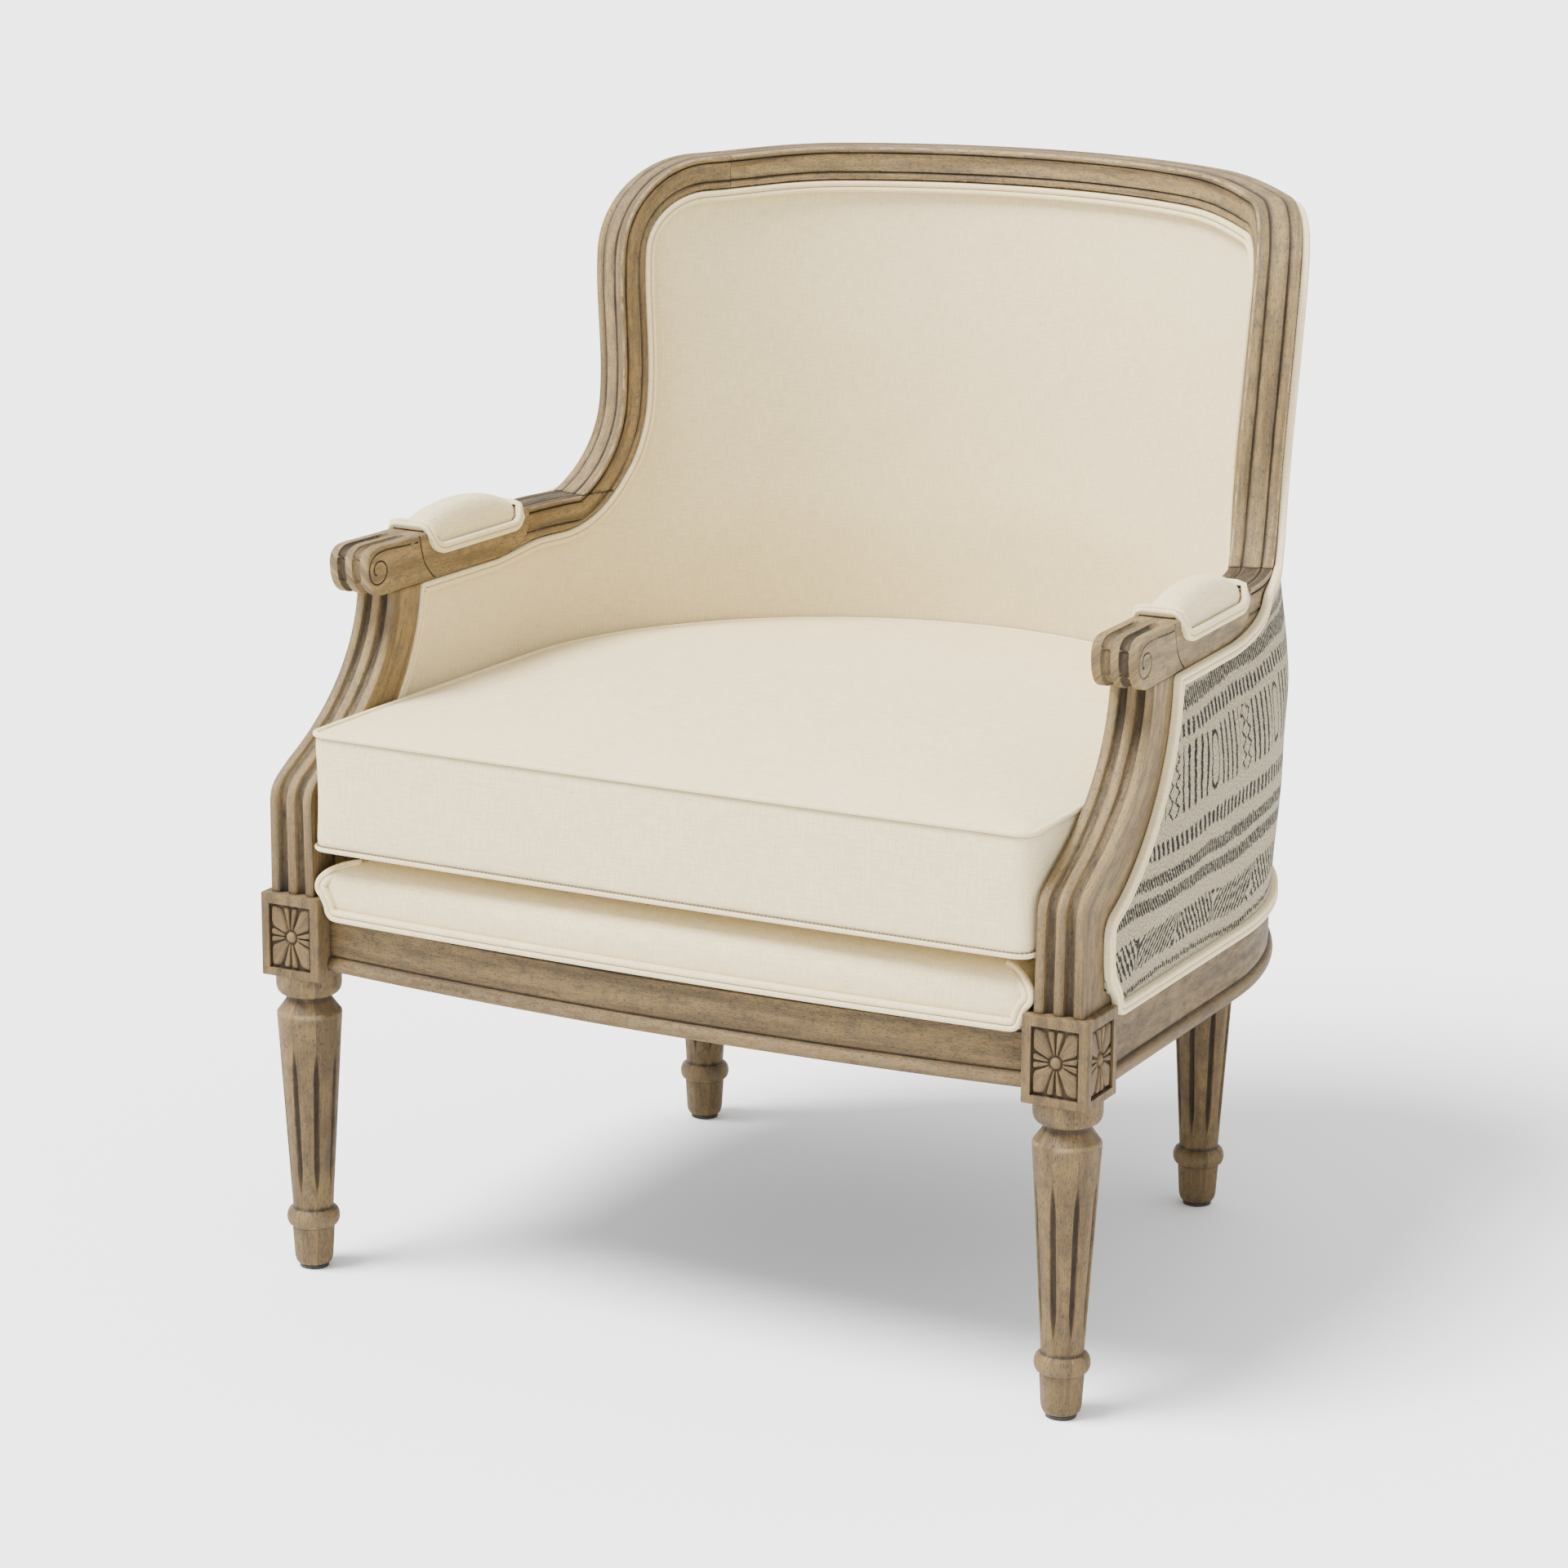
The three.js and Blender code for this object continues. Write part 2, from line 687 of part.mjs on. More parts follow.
// Patches over one half of the chair. The front edge runs up the post to the roof under the
// arm, the side edge from the roof to the corner of the frame, and the crest edge on from
// there to the middle of the back.
function shellPatches(front, side, crest) {
  const turn = side[0].x;
  const roof = side[0].y;
  const corner = crest[0];
  const joint = splitStation;
  const beforeBend = turn < straightStation;
  const bend = steps(straightStation, beforeBend ? elbowStation : turn, shellColumns.bendCount);
  const rest = steps(bend[bend.length - 1], joint, shellColumns.cornerCount);
  const low = [...(beforeBend ? [turn] : []), ...bend, ...rest.slice(1)];
  const high = beforeBend ? low : rest;
  const back = steps(joint, backStation, shellColumns.backCount);
  const row = (stations, z) => stations.map((s) => new THREE.Vector2(s, z));
  const crestAt = (s) => crossing(crest, s, 'x', 'y');
  const rise = side.map((p) => (p.y - roof) / (corner.y - roof));
  const jointEdge = rise.map((v) => new THREE.Vector2(joint, mix(roof, crestAt(joint), v)));
  const cornerEdge = steps(corner.x, joint, high.length - 1).map((s, i) => (
    i === 0 ? corner : new THREE.Vector2(s, crestAt(s))));
  return [
    front.map((p) => row([p.x, Math.min(p.x + swellStart, (p.x + low[0]) / 2), ...low], p.y)),
    front.map((p) => row(back, p.y)),
    patch(row(high, roof), cornerEdge, side, jointEdge, rise),
    rise.map((v) => back.map((s) => new THREE.Vector2(s, mix(roof, crestAt(s), v)))),
  ];
}

function eased(share) {
  const held = THREE.MathUtils.clamp(share, 0, 1);
  return 1 - (1 - held) ** 2;
}

// How far a shell has swelled at a point, as a share, away from the lines that hold it down
function swelled(lines, p, reach) {
  return eased((distanceTo(lines, p) - swellStart) / reach);
}

// Padded lining of the back and the arms, in one piece with its cover
function liningLines() {
  const edge = innerEdge(2 * gap);
  const front = postEdge(seatBase, gap + arm.depth * Math.sin(toeAngle), edge[0].y);
  return { front, edge };
}

function innerLining() {
  const { front, edge } = liningLines();
  const held = [...front, ...edge];
  const patches = shellPatches(front, edge.slice(0, cornerMiddle + 1), edge.slice(cornerMiddle));
  const face = (p) => mix(lining.edgeDepth, lining.fullDepth, swelled(held, p, lining.swellReach));
  return shell(patches, () => band.tongueDepth + skinGap, face);
}

// Outside cover: it starts low on the rail, runs under the arm, over the elbow and up the rim
function coverLines() {
  const at = (y, z) => new THREE.Vector2(stationAt(y, z), z);
  const roof = arm.bottom - gap;
  const front = postEdge(cover.bottom, gap, roof);
  const rimEdge = movedRight(rimLine(), cover.edgeSet).slice(1);
  const elbow = [
    at(coverCorner.underArm, roof),
    at(coverCorner.riseStart, arm.bottom + coverCorner.rise),
    at(coverCorner.end, arm.bottom + coverCorner.endRise),
  ];
  const edge = [...elbow, ...rimEdge];
  return { front, edge, corner: cornerMiddle - 1 + elbow.length };
}

function coverSwell(height) {
  const share = Math.exp(-(((height - arm.bottom + coverPeak.drop) / coverPeak.spread) ** 2));
  return mix(cover.lowSwell, cover.highSwell, share);
}

function coverPatches() {
  const { front, edge, corner } = coverLines();
  return shellPatches(front, edge.slice(0, corner + 1), edge.slice(corner));
}

function outerCover() {
  const { front, edge } = coverLines();
  const held = [new THREE.Vector2(backStation, cover.bottom), ...front, ...edge];
  const face = (p) => -coverSkin - coverSwell(p.y) * swelled(held, p, cover.swellReach);
  return shell(coverPatches(), () => -skinGap, face);
}

// Double welt: two cords side by side along the right of a line in the unrolled plane
const weltSection = [
  new THREE.Vector2(0, 0),
  new THREE.Vector2(welt.width / 4, welt.thickness),
  new THREE.Vector2(welt.width / 2, welt.valley),
  new THREE.Vector2(welt.width * 3 / 4, welt.thickness),
  new THREE.Vector2(welt.width, 0),
];

function mirroredLine(half) {
  const other = half.slice(0, -1).map((p) => new THREE.Vector2(2 * backStation - p.x, p.y)).reverse();
  return [...half, ...other];
}

function weltAlong(line, depthOf, closes) {
  const lanes = weltSection.map((q) => movedRight(line, q.x, closes));
  const rings = line.map((_, i) => (
    weltSection.map((q, k) => wallPoint(lanes[k][i].x, lanes[k][i].y, depthOf(q.y)))));
  return loft(rings, weltSection, closes);
}

function innerWelt() {
  const { front, edge } = liningLines();
  const foot = new THREE.Vector2(crossing(front, innerWeltBottom, 'y', 'x'), innerWeltBottom);
  const half = [foot, ...front.filter((p) => p.y > innerWeltBottom), ...edge];
  return weltAlong(mirroredLine(half), (height) => lining.edgeDepth + weltLift + height, false);
}

function outerWelt() {
  const { front, edge } = coverLines();
  const [side, back] = coverPatches().map((grid) => grid[0]);
  const low = [...side.slice(0, -1), ...back];
  const bottom = low.map((p) => new THREE.Vector2(p.x, outerWeltBottom)).reverse();
  const loop = mirroredLine([...bottom, ...front.slice(1), ...edge]);
  return weltAlong(loop.slice(0, -1), (height) => -coverSkin - weltLift - height, true);
}

// Frame

function legProfile(top) {
  const { collarRadius: collar, neckRadius: neck } = leg;
  const points = [
    [0, glide.thickness],
    [leg.soleRadius, glide.thickness],
    [leg.footRadius, leg.footHeight],
    [leg.footTopRadius, leg.ringBottom],
  ];
  const ringMiddle = (leg.ringTop + leg.ringBottom) / 2;
  const ringHalf = (leg.ringTop - leg.ringBottom) / 2;
  for (const angle of steps(-Math.PI / 3, Math.PI / 3, 2)) {
    const out = leg.footTopRadius + (leg.ringRadius - leg.footTopRadius) * Math.cos(angle);
    points.push([out, ringMiddle + ringHalf * Math.sin(angle)]);
  }
  points.push([leg.ankleRadius, leg.ankleHeight], [leg.shaftRadius, leg.shaftTop]);
  points.push([leg.shoulderRadius, leg.shoulderHeight], [neck, leg.neckBottom], [neck, leg.neckTop]);
  const collarBottom = leg.blockBottom - leg.collarHeight;
  for (const angle of steps(0, Math.PI / 2, 2).slice(1)) {
    points.push([
      mix(neck, collar, Math.sin(angle)),
      mix(collarBottom, leg.neckTop, Math.cos(angle)),
    ]);
  }
  points.push([collar, top], [0, top]);
  return points.map(([radius, height]) => new THREE.Vector2(radius, height));
}

function turned(profile, sides = 16) {
  const geometry = new THREE.LatheGeometry(profile, sides);
  geometry.rotateX(Math.PI / 2);
  return geometry;
}

function shaftRadiusAt(height) {
  return mix(leg.ankleRadius, leg.shaftRadius, (height - leg.ankleHeight) / (leg.shaftTop - leg.ankleHeight));
}

function fluteCutters() {
  const half = flute.width / 2;
  const from = new THREE.Vector3(shaftRadiusAt(flute.bottom), 0, flute.bottom);
  const to = new THREE.Vector3(shaftRadiusAt(flute.top), 0, flute.top);
  const run = new THREE.Vector3().subVectors(to, from);
  const spindle = new THREE.LatheGeometry([
    new THREE.Vector2(0, 0),
    new THREE.Vector2(half, flute.point),
    new THREE.Vector2(half, run.length() - flute.point),
    new THREE.Vector2(0, run.length()),
  ], 6);
  const tilt = new THREE.Quaternion().setFromUnitVectors(new THREE.Vector3(0, 1, 0), run.clone().normalize());
  spindle.applyQuaternion(tilt);
  spindle.translate(from.x, from.y, from.z);
  return Array.from({ length: flute.count }, (_, i) => (
    spindle.clone().rotateZ((2 * Math.PI * i) / flute.count)));
}

function glidePin(radius, clear) {
  return upCylinder(radius, glide.thickness - overrun, glide.thickness + glide.pinLength + clear, 10);
}

function rearLegSolid() {
  const top = rail.bottom - gap;
  const shaft = cut(turned(legProfile(top)), ...fluteCutters(), glidePin(glide.pinRadius + gap, gap));
  return joined(shaft, upCylinder(rearTenon.radius, top - overrun, rail.bottom + rearTenon.length));
}

// Places something drawn face-on (x across, y up, z out of the wood) on a face of the block
function onFace(geometry, across, out, centre) {
  const up = new THREE.Vector3(0, 0, 1);
  const placed = geometry.clone();
  placed.applyMatrix4(new THREE.Matrix4().makeBasis(across, up, out).setPosition(centre));
  return placed;
}

function rosetteParts(halfWidth, halfHeight) {
  const button = new THREE.SphereGeometry(rosette.buttonRadius, 8, 6);
  button.scale(1, 1, rosette.buttonHeight / rosette.buttonRadius);
  const parts = [button];
  const start = rosette.buttonRadius + rosette.buttonGap;
  for (let i = 0; i < rosette.petals; i += 1) {
    const angle = (2 * Math.PI * (i + 0.5)) / rosette.petals;
    const reach = Math.min(
      (halfWidth - rosette.rim) / Math.abs(Math.cos(angle)),
      (halfHeight - rosette.rim) / Math.abs(Math.sin(angle)),
    );
    const middle = (start + reach) / 2;
    const halfSpread = middle * Math.sin(Math.PI / rosette.petals) * petalFillShare;
    const leaf = new THREE.Shape();
    leaf.absellipse(0, 0, (reach - start) / 2, halfSpread, 0, 2 * Math.PI);
    const petal = new THREE.ExtrudeGeometry(leaf, {
      depth: rosette.petalHeight + panel.depth,
      bevelEnabled: false,
      curveSegments: 2,
    });
    petal.translate(0, 0, -panel.depth);
    petal.rotateZ(angle);
    petal.translate(middle * Math.cos(angle), middle * Math.sin(angle), 0);
    parts.push(petal);
  }
  return parts;
}

function frontLegSolid() {
  const block = box(-halfBlock, halfBlock, -halfBlock, halfBlock, leg.blockBottom, leg.blockTop);
  const shaft = cut(turned(legProfile(leg.blockBottom + overrun)), ...fluteCutters());
  const width = leg.block / 2 - panel.sideBorder;
  const height = (leg.blockTop - leg.blockBottom - panel.topBorder - panel.bottomBorder) / 2;
  const middle = leg.blockBottom + panel.bottomBorder + height;
  const floor = halfBlock - panel.depth;
  const faces = [
    [new THREE.Vector3(1, 0, 0), new THREE.Vector3(0, -1, 0)],
    [new THREE.Vector3(0, 1, 0), new THREE.Vector3(1, 0, 0)],
  ];
  let solid = block;
  for (const [across, out] of faces) {
    const centre = out.clone().multiplyScalar(floor).setZ(middle);
    const recess = box(-width, width, -height, height, 0, panel.depth + overrun);
    solid = cut(solid, onFace(recess, across, out, centre));
    solid = joined(solid, ...rosetteParts(width, height).map((part) => onFace(part, across, out, centre)));
  }
  solid = joined(solid, shaft);
  const mortises = [
    frontRailTenon(tenonPlay),
    sideRailTenon(tenonPlay),
    postTenon(tenonPlay),
  ].map((tenon) => tenon.translate(-legX, 0, 0));
  return cut(solid, ...mortises, glidePin(glide.pinRadius + gap, gap));
}

function glideSolid() {
  const disc = upCylinder(glide.radius, 0, glide.thickness - gap, 16);
  return joined(disc, glidePinShaft());
}

function glidePinShaft() {
  return upCylinder(glide.pinRadius, glide.thickness / 2, glide.thickness + glide.pinLength, 10);
}

function frontRailTenon(clear) {
  const { length, thickness, height, bottom, frontSet } = railTenon;
  return box(
    blockInner - gap - overrun, blockInner + length + clear,
    -frontSet - clear, thickness - frontSet + clear, bottom - clear, bottom + height + clear,
  );
}

function sideRailTenon(clear) {
  const { sideLength, thickness, height, bottom } = railTenon;
  const middle = legX - railTenon.frontSet;
  return box(
    middle - thickness / 2 - clear, middle + thickness / 2 + clear,
    halfBlock - sideLength - clear, halfBlock + gap + overrun, bottom - clear, bottom + height + clear,
  );
}

function postTenon(clear) {
  const { tenonWidth, tenonDepth, tenonLength, tenonSet } = post;
  const outer = plan.seatRadius - tenonSet / 2;
  return box(
    outer - tenonWidth - clear, outer + clear,
    -tenonSet - clear, tenonDepth - tenonSet + clear,
    leg.blockTop - tenonLength - clear, leg.blockTop + gap + overrun,
  );
}

function armTenon(clear) {
  const middle = (post.topFront + post.topRear) / 2;
  const outer = outerX(middle, arm.bottom) - (post.topWidth - post.tenonWidth) / 2;
  return box(
    outer - post.tenonWidth - clear, outer + clear,
    middle - post.tenonDepth / 2 - clear, middle + post.tenonDepth / 2 + clear,
    arm.bottom - gap - overrun, arm.bottom + arm.tenonLength + clear,
  );
}

// Front rail: bowed band and bead between the blocks
function bowedPlan(face, halfWidth, back, bow) {
  const shape = new THREE.Shape();
  shape.moveTo(-halfWidth, -face);
  shape.quadraticCurveTo(0, -face - 2 * bow, halfWidth, -face);
  shape.lineTo(halfWidth, back);
  shape.lineTo(-halfWidth, back);
  return shape;
}

function frontRailSolid() {
  const halfWidth = blockInner - gap;
  const { face, bow, back, groove, grooveHeight } = frontRail;
  const beadTop = rail.bottom + rail.beadHeight;
  const bead = slabFromPlan(bowedPlan(face + rail.bead, halfWidth, back, bow), rail.bottom, beadTop);
  const neck = slabFromPlan(
    bowedPlan(face - groove, halfWidth, back, bow), beadTop - overrun, beadTop + grooveHeight + overrun);
  const top = slabFromPlan(bowedPlan(face, halfWidth, back, bow), beadTop + grooveHeight, rail.ledge);
  const tenon = frontRailTenon(0);
  let solid = joined(bead, neck, top, tenon, mirrored(tenon));
  for (const hole of screwHoles(frontScrews())) solid = cut(solid, hole, mirrored(hole));
  return solid;
}

// Side and back rails
const railSection = [
  new THREE.Vector2(rail.depth, rail.bottom),
  new THREE.Vector2(rail.beadRound - rail.bead, rail.bottom),
  new THREE.Vector2(-rail.bead, rail.bottom + rail.beadRound),
  new THREE.Vector2(-rail.bead, rail.bottom + rail.beadHeight - rail.beadRound),
  new THREE.Vector2(rail.beadRound - rail.bead, rail.bottom + rail.beadHeight),
  new THREE.Vector2(0, rail.bottom + rail.beadHeight),
  new THREE.Vector2(0, leg.blockTop),
  new THREE.Vector2(rail.wall, leg.blockTop),
  new THREE.Vector2(rail.wall, rail.ledge),
  new THREE.Vector2(rail.depth, rail.ledge),
];

function railAlong(stations) {
  return loft(stations.map((s) => railSection.map((p) => wallPoint(s, p.y, p.x))), railSection);
}

const railJoint = backRadius * sideRailEndAngle;

// Tongue across the rail joint, from inside the side rail to a station in the back rail
function railTongueSlab(clear, end) {
  const { length, inset, thickness, bottom, height } = railTongue;
  return wallSlab(
    railJoint - length - clear, end, bottom - clear, bottom + height + clear,
    inset - clear, inset + thickness + clear, 4,
  );
}

function sideRailSolid() {
  const start = stationAt(halfBlock + gap, rail.bottom);
  const run = [
    start, ...steps(straightStation, elbowStation, 3), ...steps(elbowStation, railJoint, 7).slice(1),
  ];
  const solid = joined(railAlong(run), sideRailTenon(0));
  const legHole = upCylinder(
    rearTenon.radius + tenonPlay, rail.bottom - overrun, rail.bottom + rearTenon.length + gap);
  legHole.translate(rearLegX, rearLegY, 0);
  const mortise = railTongueSlab(tenonPlay, railJoint + overrun);
  const holes = [...screwHoles(sideScrews()), ...screwHoles(rearScrews())];
  return cut(solid, legHole, mortise, elbowUprightTenons(tenonPlay)[0], ...holes);
}

function backRailSolid() {
  const start = railJoint + gap;
  const solid = railAlong(steps(start, 2 * backStation - start, 16));
  const tongue = railTongueSlab(0, railJoint + railTongue.length);
  let made = joined(solid, tongue, mirrored(tongue));
  const mortise = backUprightTenons(tenonPlay)[0];
  made = cut(made, mortise, mirrored(mortise));
  for (const hole of screwHoles(rearScrews())) made = cut(made, hole, mirrored(hole));
  return made;
}

// Arm post: three reeds and two coves down its front, with a flange behind for the upholstery
function postSolid() {
  const fronts = postFront();
  const rears = postRear();
  const cove = post.coveDepth;
  const lip = cove / 4;
  const strip = 1 / (2 * post.reeds - 1);
  const face = [];
  for (let i = 0; i < post.reeds; i += 1) {
    const start = 2 * i * strip;
    face.push([start, lip], [start + strip / 4, 0], [start + strip * 3 / 4, 0], [start + strip, lip]);
    if (i + 1 < post.reeds) face.push([start + strip * 1.5, cove]);
  }
  const outline = (width, thickness) => {
    const wallShare = rail.wall / width;
    const flangeRear = thickness + post.flange;
    return [...face, [1, thickness], [wallShare, thickness], [wallShare, flangeRear], [0, flangeRear]];
  };
  const rings = fronts.map((front, i) => {
    const rear = rears[i];
    const back = new THREE.Vector2().subVectors(rear, front);
    const thickness = back.length();
    back.normalize();
    const share = (front.y - leg.blockTop) / (arm.bottom - leg.blockTop);
    const width = mix(post.width, post.topWidth, THREE.MathUtils.clamp(share, 0, 1));
    return outline(width, thickness).map(([across, deep]) => {
      const p = front.clone().addScaledVector(back, deep);
      return new THREE.Vector3(outerX(p.x, p.y) - across * width, p.x, p.y);
    });
  });
  const section = outline(post.width, post.width)
    .map(([across, deep]) => new THREE.Vector2(across * post.width, deep));
  return joined(loft(rings, section), postTenon(0), armTenon(0));
}

// Arms
const scoopFrontEnd = arm.padStart + arm.scoopFront;
const scoopRearStart = arm.padEnd - arm.scoopRear;

function scooped(edge, floor, run, length) {
  const share = THREE.MathUtils.clamp(run / length, 0, 1);
  return edge - (edge - floor) * Math.sqrt(1 - share ** 2);
}

function armTopAt(y) {
  if (y <= arm.padStart) return armTop;
  if (y >= arm.padEnd) return jointHeight;
  if (y < scoopFrontEnd) return scooped(armTop, armPadSeat, scoopFrontEnd - y, arm.scoopFront);
  if (y > scoopRearStart) return scooped(jointHeight, armPadSeat, y - scoopRearStart, arm.scoopRear);
  return armPadSeat;
}

function armScroll() {
  const outline = new THREE.Shape();
  const top = armTop;
  const { scrollFront: nose, bottom } = arm;
  const middle = bottom + arm.scrollMiddleRise;
  outline.moveTo(arm.scrollEnd, top);
  outline.lineTo(arm.scrollTopStart, top);
  outline.bezierCurveTo(
    mix(arm.scrollTopStart, nose, 0.75), top, nose, mix(top, middle, 0.25), nose, middle);
  outline.bezierCurveTo(
    nose, mix(middle, bottom, 0.45), mix(nose, arm.scrollChinStart, 0.3), bottom,
    arm.scrollChinStart, bottom);
  outline.lineTo(arm.scrollEnd, bottom);
  const geometry = new THREE.ExtrudeGeometry(outline, {
    depth: arm.depth, bevelEnabled: false, curveSegments: 7,
  });
  const position = geometry.getAttribute('position');
  for (let i = 0; i < position.count; i += 1) {
    const y = position.getX(i);
    const z = position.getY(i);
    const p = wallPoint(stationAt(y, z), z, arm.depth - position.getZ(i));
    position.setXYZ(i, p.x, p.y, p.z);
  }
  return geometry;
}

function armRing(top, bottom) {
  return [[top, 0], [top, arm.depth], [bottom, arm.depth], [bottom, 0]];
}

const scoopPlaces = [...steps(arm.padStart, scoopFrontEnd, 4), ...steps(scoopRearStart, arm.padEnd, 3)];

function armSolid() {
  const underside = innerEdge(0);
  const tipHeight = jointHeight - band.grooveDepth;
  const tip = crossing(underside, tipHeight, 'y', 'x');
  const straight = [(arm.scrollEnd + arm.scrollTopStart) / 2, ...scoopPlaces].map((y) => (
    armRing(armTopAt(y), arm.bottom).map(([z, d]) => armPoint(y, z, d))));
  const stations = [
    ...steps(straightStation, elbowStation, 3),
    ...underside.filter((p) => p.y < tipHeight).map((p) => p.x),
    tip,
  ].sort((a, b) => a - b);
  const bent = stations.map((s) => {
    const bottom = s < underside[0].x ? arm.bottom : crossing(underside, s, 'x', 'y');
    return armRing(jointHeight, bottom).map(([z, d]) => wallPoint(s, z, d));
  });
  const section = armRing(armTop, arm.bottom).map(([z, d]) => new THREE.Vector2(d, z));
  const tongue = wallSlab(
    stationAt(arm.tongueStart, arm.bottom), elbowStation - arm.tongueEndSet,
    arm.bottom - arm.tongueHeight, arm.bottom + overrun, 0, band.tongueDepth, 5,
  );
  const solid = joined(loft([...straight, ...bent], section), armScroll(), tongue);
  return cut(solid, armTenon(tenonPlay), elbowUprightTenons(tenonPlay)[1], armDowel(dowel.radius + gap, gap));
}

// Stile and crest
function bandSection() {
  const { edgeReed: reed, grooveWidth: wide, grooveDepth: groove, depth, width } = band;
  return [
    [0, 0], [0, reed], [groove, reed + wide / 2], [0, reed + wide],
    [0, depth - reed - wide], [groove, depth - reed - wide / 2], [0, depth - reed], [0, depth],
    [width, depth], [width, band.tongueDepth], [width + band.tongueWidth, band.tongueDepth],
    [width + band.tongueWidth, 0],
  ].map(([across, deep]) => new THREE.Vector2(across, deep));
}

function bandAlong(line, from, to) {
  const section = bandSection();
  const lanes = new Map(section.map((q) => [q.x, movedRight(line, q.x)]));
  const rings = line
    .map((_, i) => section.map((q) => wallPoint(lanes.get(q.x)[i].x, lanes.get(q.x)[i].y, q.y)))
    .slice(from, to);
  return loft(rings, section);
}

// The rim line with a point where the stile meets the crest
function splitRim() {
  const line = rimLine().slice(1);
  const index = line.findIndex((p) => p.x > splitStation);
  const at = new THREE.Vector2(splitStation, crossing(line, splitStation, 'x', 'y'));
  const joint = gap / 2;
  const before = at.clone().setX(at.x - joint);
  const after = at.clone().setX(at.x + joint);
  return { line: [...line.slice(0, index), before, after, ...line.slice(index)], index };
}

function stileSolid() {
  const { line, index } = splitRim();
  const reach = plan.seatRadius + backRadius;
  const below = box(0, reach, 0, reach, arm.bottom - arm.tongueHeight, jointHeight + gap);
  return cut(
    bandAlong(line, 0, index + 1), below,
    armDowel(dowel.radius + gap, gap), crestDowel(dowel.radius + gap, gap),
  );
}

function crestSolid() {
  const { line, index } = splitRim();
  const half = bandAlong(mirroredLine(line), index + 1, 2 * line.length - index - 2);
  const hole = crestDowel(dowel.radius + gap, gap);
  const mortise = backUprightTenons(tenonPlay)[1];
  return cut(half, hole, mirrored(hole), mortise, mirrored(mortise));
}

function armDowel(radius, clear) {
  const elbow = new THREE.Vector2(elbowStation, jointHeight);
  const line = rimLine().slice(1);
  const along = new THREE.Vector2().subVectors(line[2], elbow).normalize();
  const across = new THREE.Vector2(along.y, -along.x);
  const middle = elbow.clone().addScaledVector(across, band.width / 2).addScaledVector(along, band.width / 3);
  const half = dowel.length / 2 + clear;
  const end = (way) => {
    const p = middle.clone().addScaledVector(along, way * half);
    return wallPoint(p.x, p.y, band.depth / 2);
  };
  return rodBetween(end(-1), end(1), radius);
}

function crestDowel(radius, clear) {
  const half = dowel.length / 2 + clear;
  const lane = movedRight(rimLine().slice(1), band.width / 2);
  const end = (way) => {
    const s = splitStation + way * half;
    return wallPoint(s, crossing(lane, s, 'x', 'y'), band.depth / 2);
  };
  return rodBetween(end(-1), end(1), radius);
}

// Hidden uprights. The tenons are the lower and upper one.
function uprightTenons(station, bottom, top, clear) {
  const { width, tenonWidth, tenonLength, tenonThickness } = upright;
  const from = station + (width - tenonWidth) / 2 - clear;
  const to = station + (width + tenonWidth) / 2 + clear;
  const near = (rail.wall - tenonThickness) / 2 - clear;
  const far = (rail.wall + tenonThickness) / 2 + clear;
  return [
    wallSlab(from, to, bottom - tenonLength - clear, bottom + overrun, near, far),
    wallSlab(from, to, top - overrun, top + tenonLength + clear, near, far),
  ];
}

const elbowUprightTop = arm.bottom - arm.tongueHeight - gap;
const backUprightTop = rim.crestHeight - band.width - band.tongueWidth - gap;
const uprightFoot = leg.blockTop + gap;

function elbowUprightTenons(clear) {
  return uprightTenons(elbowStation - upright.elbowSet, uprightFoot, elbowUprightTop, clear);
}

function backUprightTenons(clear) {
  return uprightTenons(elbowStation + upright.backOut, uprightFoot, backUprightTop, clear);
}

function uprightSolid(station, top, tenons) {
  const heights = top > plan.backHeight ? [uprightFoot, plan.backHeight, top] : [uprightFoot, top];
  return joined(wallPost(station, station + upright.width, heights, rail.wall), ...tenons);
}

// Corner blocks and their screws
function frontCornerBlockPlan() {
  const right = plan.seatRadius - rail.depth - gap;
  const front = frontRail.back + gap;
  const { reach, nose } = cornerBlock;
  const shape = new THREE.Shape();
  shape.moveTo(right, front);
  shape.lineTo(right, front + reach);
  shape.lineTo(right - nose, front + reach);
  shape.lineTo(right - reach, front + nose);
  shape.lineTo(right - reach, front);
  return shape;
}

const screwHeight = cornerBlock.bottom + cornerBlock.height / 2;

// Each screw has the point under its head and the way it is driven
function frontScrews() {
  const seat = new THREE.Vector3(
    plan.seatRadius - rail.depth - cornerBlock.reach + cornerBlock.nose / 2,
    frontRail.back + cornerBlock.nose, screwHeight);
  return [{ seat, way: new THREE.Vector3(0, -1, 0) }];
}

function sideScrews() {
  const seat = new THREE.Vector3(
    plan.seatRadius - rail.depth - cornerBlock.nose,
    frontRail.back + cornerBlock.reach - cornerBlock.nose / 2, screwHeight);
  return [{ seat, way: new THREE.Vector3(1, 0, 0) }];
}

function rearScrews() {
  const depth = rail.depth + cornerBlock.rearDepth - screw.headHeight - gap;
  return [-1, 1].map((side) => {
    const station = railJoint + side * screw.setIn;
    const seat = wallPoint(station, screwHeight, depth);
    const way = wallPoint(station, screwHeight, 0).sub(seat).normalize();
    return { seat, way };
  });
}

function screwHoles(screws) {
  return screws.map(({ seat, way }) => {
    const end = seat.clone().addScaledVector(way, screw.length + gap);
    return rodBetween(seat.clone().addScaledVector(way, -overrun), end, screw.shankRadius + screw.play);
  });
}

function headHoles(screws) {
  return screws.map(({ seat, way }) => {
    const open = seat.clone().addScaledVector(way, -cornerBlock.reach / 2);
    const floor = seat.clone().addScaledVector(way, gap);
    return rodBetween(open, floor, screw.headRadius + screw.play);
  });
}

